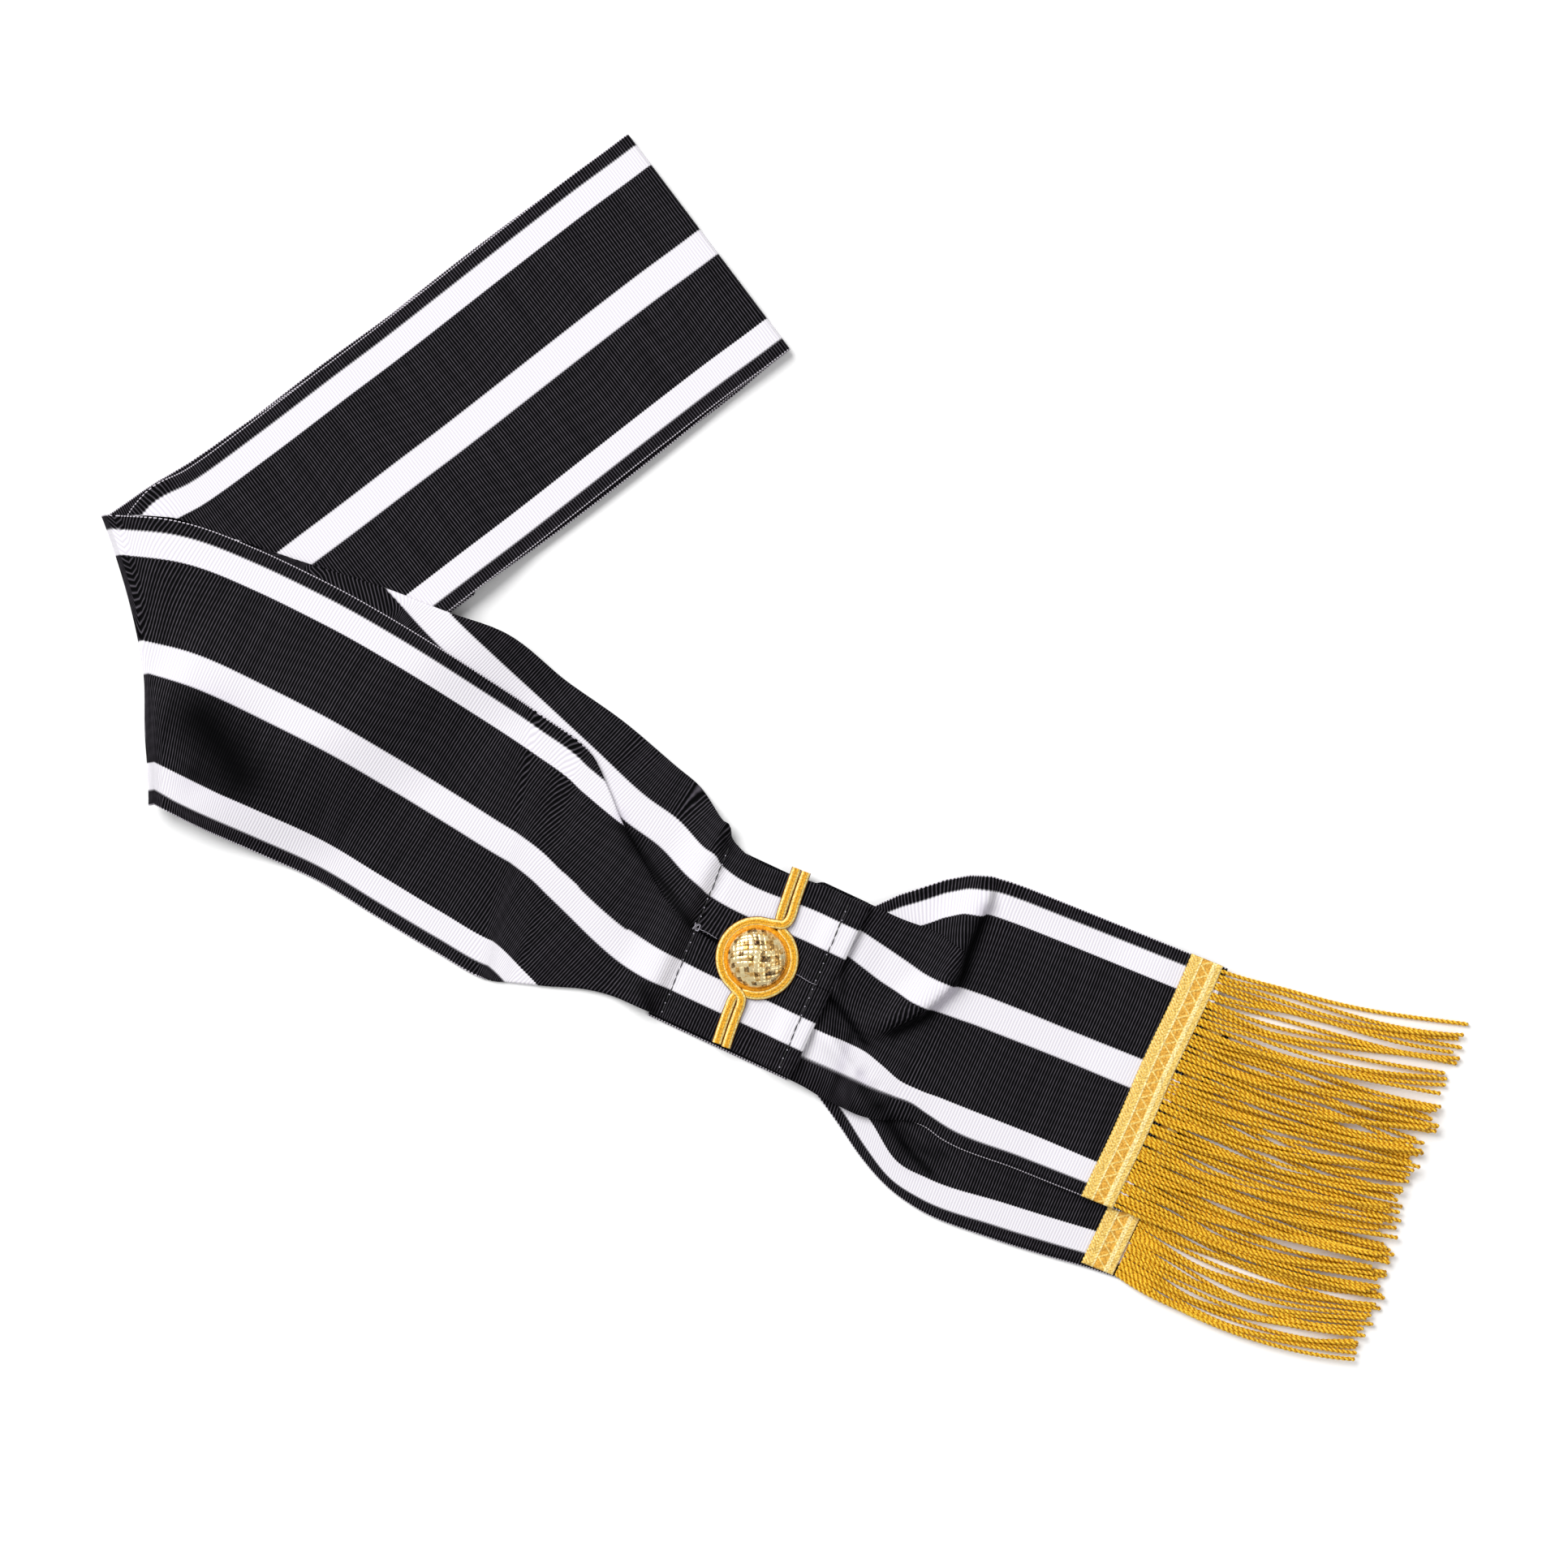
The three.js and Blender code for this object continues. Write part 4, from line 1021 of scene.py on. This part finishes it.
def braidRelief(place, across):
    # The height of the pattern and its tone: dark in the openings of the zigzag, pale on the ridges.
    lines = sum(bell(across - q, 0.24) for q in braidWeave["lines"])
    lines = lines + 0.8 * bell(across - braidWeave["edge"], 0.22)
    low, high = braidWeave["zigzag"]
    share = np.abs((place / braidWeave["zigzagMm"]) % 1 * 2 - 1)
    centre = low + (high - low) * share
    zigzag = bell(across - centre, 0.34) * (across > low - 0.3) * (across < high + 0.4)
    inside = ((across > low - 0.2) & (across < high + 0.2)).astype(float)
    plait = np.sin(2 * math.pi * (place + np.abs(across - 2.2)) / braidWeave["plaitMm"]) * (1 - inside)
    tone = 0.38 + 0.24 * plait * (1 - inside) - 0.3 * inside + 0.65 * np.clip(lines + zigzag, 0, 1)
    height = braidWeave["ridgeMm"] * lines + braidWeave["ridgeMm"] * zigzag
    height = height + braidWeave["plaitHighMm"] * plait - braidWeave["openingMm"] * inside
    return height, np.clip(tone, 0, 1)


def flatBraid(name, top, low, seat):
    # top and low are the ribbon-side corners in the tail's frame.
    length = math.dist(top, low)
    rows, columns = int(length / braidWeave["stepMm"]), braidWeave["columns"]
    along, over = np.linspace(0, length, rows), np.linspace(0, braid["widthMm"], columns)
    place, across = np.meshgrid(along, over, indexing="ij")
    share = place / length
    scallop = braidWeave["scallopDepthMm"] * np.abs(np.sin(math.pi * place / braidWeave["scallopMm"]))
    scallop = scallop * (1 - smooth(0, 1.2, across))
    a = top[0] + (low[0] - top[0]) * share + across - scallop + 0.25 * np.sin(place / 9)
    c = top[1] + (low[1] - top[1]) * share
    height, tone = braidRelief(place, across)
    rim = np.minimum(np.minimum(across, braid["widthMm"] - across), np.minimum(place, length - place))
    z = seat + braidWeave["highMm"] * smooth(-0.3, 0.7, rim) + height
    uvs = list(zip(tone.ravel(), share.ravel()))
    piece = newPiece(name, placed(tail, a, c, z), gridFaces(rows, columns), uvs, braidGilt)
    thicken(piece, braidWeave["stripMm"], 1 if piece.data.polygons[0].normal.z < 0 else -1)


backBraidStart = braidEnd["back"] - braid["widthMm"]
flatBraid("front_braid", (115.9, 58.4), (111.8, -40.5), frontTailEnd + 1.0)
flatBraid("back_braid", (backBraidStart, 35.2), (backBraidStart - 4.1, -63.6), 1.0)
print("braids made")


# The button has a soutache round it, a satin rim and a dome of woven gilt strip.
button = {
    "seat": 3 * sash["wall"] + pitch + sash["layerGap"],
    "braidHalfMm": 1.85, "braidHighMm": 1.45, "braidEdgeMm": 0.3, "ringMm": 13.7,
    "plaitMm": 0.95, "plaitHighMm": 0.09,
    "rimInnerMm": 10.6, "rimOuterMm": 12.3, "rimHighMm": 1.25, "rimStitches": 110, "rimShellMm": 0.3,
    "domeMm": 11.0, "domeHighMm": 5.1, "domeTurn": 18, "stripMm": 2.0, "stripArchMm": 0.24, "stripDiveMm": 0.18,
}


def ringPoints(start, end, lift, count=14):
    radius, turns = button["ringMm"], np.radians(np.linspace(start, end, count))
    return [(radius * math.cos(t), radius * math.sin(t), lift) for t in turns]


def soutache(name, hipPoints):
    # Two plaited ridges side by side, the outer threads paler.
    keys = [(*hip["at"](a, c), button["seat"] + lift) for a, c, lift in hipPoints]
    along, line = evenPath(curved(keys, 240), 0.28)
    half, high = button["braidHalfMm"], button["braidHighMm"]
    spread = np.linspace(-1, 1, 17)
    grooves = (1 - 0.22 * bell(spread, 0.12)) * (1 - 0.14 * bell(np.abs(spread) - 0.56, 0.07))
    arch = (1 - np.abs(spread) ** 3.2) * grooves
    plait = np.sin(2 * math.pi * (along[:, None] + 1.1 * np.abs(spread)[None, :] * half) / button["plaitMm"])
    edge = button["braidEdgeMm"]
    tall = edge + (high - edge) * arch[None, :] + button["plaitHighMm"] * plait * arch[None, :]
    wide = np.repeat((spread * half)[None, :], len(line), axis=0)
    sideways = np.concatenate([wide, wide[:, [-1, 0]] * 0.96], axis=1)
    upwards = np.concatenate([tall, np.zeros((len(line), 2))], axis=1)
    tone = np.concatenate([np.abs(spread), [1, 1]])
    uvs = [(t, place / 100) for place in along for t in tone]
    points, faces = swept(line, sideways, upwards), tubeFaces(0, len(line), len(tone))
    newPiece(name, points, faces, uvs, cordGilt, ["button_cord"])


soutache("soutache_left", [
    (3.0, 36.7, 0.1), (3.6, 30, 0.1), (4.3, 24, 0.1), (4.9, 19.4, 0.2), (4.7, 17.1, 0.5), (3.4, 15.3, 0.8),
    (1.2, 14.5, 0.8), *ringPoints(98, 252, 0.1), (-2.4, -13.9, 0.3), (-0.6, -14.6, 0.7), (0.9, -15.7, 0.8),
    (1.7, -17.8, 0.5), (2.0, -21, 0.2), (2.6, -28, 0.1), (3.45, -34.9, 0.1),
])
soutache("soutache_right", [
    (-0.75, 36.5, 0.1), (-0.15, 30, 0.1), (0.5, 24, 0.1), (1.1, 19, 0.1), (1.6, 16.4, -0.2), (2.9, 14.4, -0.3),
    *ringPoints(70, -80, 0.1), (0.4, -14.0, -0.2), (-1.2, -15.1, -0.2), (-1.9, -17.4, 0.0), (-1.75, -21, 0.1),
    (-1.15, -28, 0.1), (-0.3, -34.9, 0.1),
])


def satinRim():
    # A padded ring closely covered with radial satin stitches.
    around, sides = 300, 10
    inner, outer = button["rimInnerMm"], button["rimOuterMm"]
    angles = np.linspace(0, 2 * math.pi, around, endpoint=False)
    turn = np.linspace(0, math.pi, sides)
    ridge = 0.04 * np.sin(angles * button["rimStitches"])[:, None]
    radius = (inner + outer) / 2 - (outer - inner) / 2 * np.cos(turn)[None, :] * (1 + ridge)
    tall = 0.2 + button["rimHighMm"] * np.sin(turn)[None, :] + ridge
    a, c = radius * np.cos(angles)[:, None], radius * np.sin(angles)[:, None]
    points = placed(hip, a, c, button["seat"] + tall)
    starts = [(i * sides + j, (i + 1) % around * sides + j) for i in range(around) for j in range(sides - 1)]
    faces = [(p, q, q + 1, p + 1) for p, q in starts]
    uvs = [(angle * 11.5 / 100, j / sides) for angle in angles for j in range(sides)]
    piece = newPiece("satin_rim", points, faces, uvs, rimSatin, ["button_rim"])
    thicken(piece, button["rimShellMm"], -1)


def wovenDome():
    # Flat gilt strips woven over and under on a domed core.
    size = 108
    reach = button["domeMm"]
    rings = np.linspace(0, 1, size // 2)
    spokes = np.linspace(0, 2 * math.pi, size * 2, endpoint=False)
    r, t = np.meshgrid(reach * np.sin(rings * math.pi / 2), spokes, indexing="ij")
    a, c = r * np.cos(t), r * np.sin(t)
    base = button["domeHighMm"] * np.sqrt(np.clip(1 - (r / reach) ** 2, 0, 1)) ** 0.85
    swirl = math.radians(button["domeTurn"]) + 0.02 * r
    p, q = a * np.cos(swirl) + c * np.sin(swirl), c * np.cos(swirl) - a * np.sin(swirl)
    stretch = 1 + 0.16 * (r / reach) ** 2
    p, q = p * stretch / button["stripMm"] + 0.5, q * stretch / button["stripMm"] + 0.5
    cellP, cellQ = np.floor(p), np.floor(q)
    over = (cellP + cellQ) % 2
    localP, localQ = p - cellP - 0.5, q - cellQ - 0.5
    pillow = np.where(over > 0, 1 - (2 * localP) ** 4, 1 - (2 * localQ) ** 4)
    dive = np.where(over > 0, (2 * localQ) ** 2, (2 * localP) ** 2)
    z = button["seat"] + 1.4 + base + button["stripArchMm"] * pillow - button["stripDiveMm"] * dive - 0.15
    ids = ((cellP * 7.13 + cellQ * 3.71) % 1.0, (cellP * 2.9 + cellQ * 5.3 + over * 0.37) % 1.0)
    uvs = list(zip(ids[0].ravel(), ids[1].ravel()))
    count = len(spokes)
    around = range(count)
    starts = [(i * count + j, i * count + (j + 1) % count) for i in range(1, len(rings) - 1) for j in around]
    faces = [(p, p + count, q + count, q) for p, q in starts]
    faces.append(tuple(count + j for j in range(count)))
    piece = newPiece("woven_dome", placed(hip, a, c, z), faces, uvs, domeGilt, ["button_dome"])
    layer = piece.data.uv_layers["cloth"]
    for face in piece.data.polygons:
        for loop in face.loop_indices:
            layer.data[loop].uv = uvs[face.vertices[0]]


satinRim()
wovenDome()
print("button made")


# At the hip joint: the backing, the stitches at both ends and the seam's threads.
hipSewing = {
    "stitchMm": 3.4, "threadMm": 0.24, "left": ((-26.9, 33), (-23.6, -33)), "right": ((22.2, 33), (24.6, -33)),
    "white": [(12.5, 25.5), (-25, -12.5)], "seams": [(15.6, 24.0), (-25.5, -16.5)], "seamMm": 0.1,
    "knotMm": 0.14,
}
backing = {
    "clothMm": 43, "low": -36.6, "high": 33.4, "wider": 2.6, "thicknessMm": 0.5, "rows": 60, "columns": 48,
}


def hipSurface(along, across):
    # The top of the joint's cloth, drawn down along the stitches.
    roots = smooth(hipStations[1], hipStations[2], along)
    return pitch + 3 * sash["wall"] + 2 * pitch * roots + stitchDip(*hip["at"](along, across))


def hipBacking():
    rows = []
    share = np.linspace(0, 1, backing["columns"])
    for a in np.linspace(-hipEnd + 2, hipEnd - 1, backing["rows"]):
        high = backing["high"] + backing["wider"] * smooth(6, 11, a)
        c = backing["low"] + (high - backing["low"]) * share
        z = backing["thicknessMm"] + 0.12 * np.sin(a / 5 + c / 7)
        rows.append((backing["clothMm"] * share, placed(hip, a, c, z)))
    piece, length = clothPiece(
        "backing_cloth", rows, backingCloth, ["hip_backing"], backing["thicknessMm"],
    )


def stitchLine(name, ends, material, glints):
    # A row of long stitches, or the black thread's painted highlights: pale dots where each stitch dives.
    (a0, c0), (a1, c1) = ends
    length = math.dist(*ends)
    count = int(length / hipSewing["stitchMm"])
    begin, half, lift, wide = (1.0, 0.3, 0.1, 1.15) if glints else (0.5, 1.68, 0.02, 1)
    turn = np.linspace(0, math.pi, 7)
    radius = hipSewing["threadMm"] * wide * np.sin(np.linspace(0.35, math.pi - 0.35, 7))[:, None]
    points, faces, total = [], [], 0
    for k in range(count):
        middle = (k + begin) / count
        across = c0 + (c1 - c0) * middle
        if glints and any(low < across < high for low, high in hipSewing["white"]):
            continue  # the dark thread shows no glints on white
        t = np.linspace(middle - half / length, middle + half / length, 7)
        a, c = a0 + (a1 - a0) * t + 0.12 * math.sin(k * 2.1), c0 + (c1 - c0) * t
        line = placed(hip, a, c, hipSurface(a, c) + lift * np.sin(turn))
        points.append(threadTube(line, radius, 7))
        faces += tubeFaces(total, 7, 7)
        total += 49
    newPiece(name, np.concatenate(points), faces, None, material)


def seamThread():
    # The pale overcast thread that joins the two ribbons beside the button.
    for k, (start, end) in enumerate(hipSewing["seams"]):
        a = np.linspace(start, end, 60)
        c = 0.5 + 0.25 * np.sin(a * 0.5) + 0.1 * np.sin(a * 5)
        line = placed(hip, a, c, hipSurface(a, c) + 0.12 + 0.12 * np.sin(a * 5))
        points = threadTube(line, hipSewing["seamMm"] * np.ones((60, 1)))
        newPiece(f"seam_thread_{k + 1}", points, tubeFaces(0, 60, 6), None, paleThreadAndGlints)


def threadKnot():
    # The thread's end is knotted where the left stitches cross the seam.
    turn = np.linspace(0, 2 * math.pi, 90)
    a, c = -25.2 + 1.1 * np.sin(2 * turn), 1.0 + 1.3 * np.sin(3 * turn + 0.4)
    line = placed(hip, a, c, hipSurface(a, c) + 0.35 + 0.2 * np.cos(5 * turn))
    points = threadTube(line, hipSewing["knotMm"] * np.ones((90, 1)))
    newPiece("thread_knot", points, tubeFaces(0, 90, 6), None, paleThreadAndGlints)


hipBacking()
threadKnot()
for side in ("left", "right"):
    stitchLine(f"stitches_{side}", hipSewing[side], darkThread, False)
    # Painted highlights: pale dots for the black thread's glints on the black cloth.
    stitchLine(f"stitch_painted_glints_{side}", hipSewing[side], paleThreadAndGlints, True)
seamThread()
print("hip sewing made")


# A soft key light from the upper left, a faint fill, and the camera straight above.
studio = {
    "paper": ("#FDFDFD", "#FFFFFF"), "paperSize": 6, "paperDropMm": -0.4, "ambient": 0.4,
    "lamps": asRows(("name", "place", "size", "watts"), [
        ("key", (-1.3, 1.4, 2.1), 2.0, 88),
        ("fill", (1.0, -0.7, 1.3), 1.0, 5),
    ]),
    "cameraMm": (0.11, -14.43, 1621.4), "lens": 100, "sensor": 36,
}


def stageScene():
    bpy.ops.mesh.primitive_plane_add(size=studio["paperSize"], location=(0, 0, studio["paperDropMm"] * mm))
    floor = bpy.context.object
    floor.name = "studio_floor"
    material, tree, shader = newMaterial("white paper sweep, matt")
    speck = addNode(tree, "TexNoise", {"Scale": 60.0})
    low, high = [linear(code) for code in studio["paper"]]
    tone = addNode(tree, "Mix", {"data_type": "RGBA", 6: low, 7: high}, {0: speck})
    tree.links.new(tone.outputs[2], shader.inputs["Base Color"])
    shader.inputs["Roughness"].default_value = 0.9
    floor.data.materials.append(material)
    scene = bpy.context.scene
    scene.world = bpy.data.worlds.new("studio")
    scene.world.use_nodes = True
    background = scene.world.node_tree.nodes["Background"]
    background.inputs[0].default_value = (1, 1, 1, 1)
    background.inputs[1].default_value = studio["ambient"]
    for row in studio["lamps"]:
        lamp = bpy.data.lights.new(row["name"], "AREA")
        lamp.energy = row["watts"]
        lamp.size = row["size"]
        lamp.shape = "DISK"
        light = bpy.data.objects.new(row["name"], lamp)
        light.location = row["place"]
        light.rotation_euler = (-Vector(row["place"])).to_track_quat("-Z", "Y").to_euler()
        scene.collection.objects.link(light)
    scene.view_settings.view_transform = "Standard"
    camera = bpy.data.cameras.new("camera")
    camera.lens = studio["lens"]
    camera.sensor_width = studio["sensor"]
    view = bpy.data.objects.new("camera", camera)
    view.location = [value * mm for value in studio["cameraMm"]]
    scene.collection.objects.link(view)
    scene.camera = view


stageScene()
print("studio made")
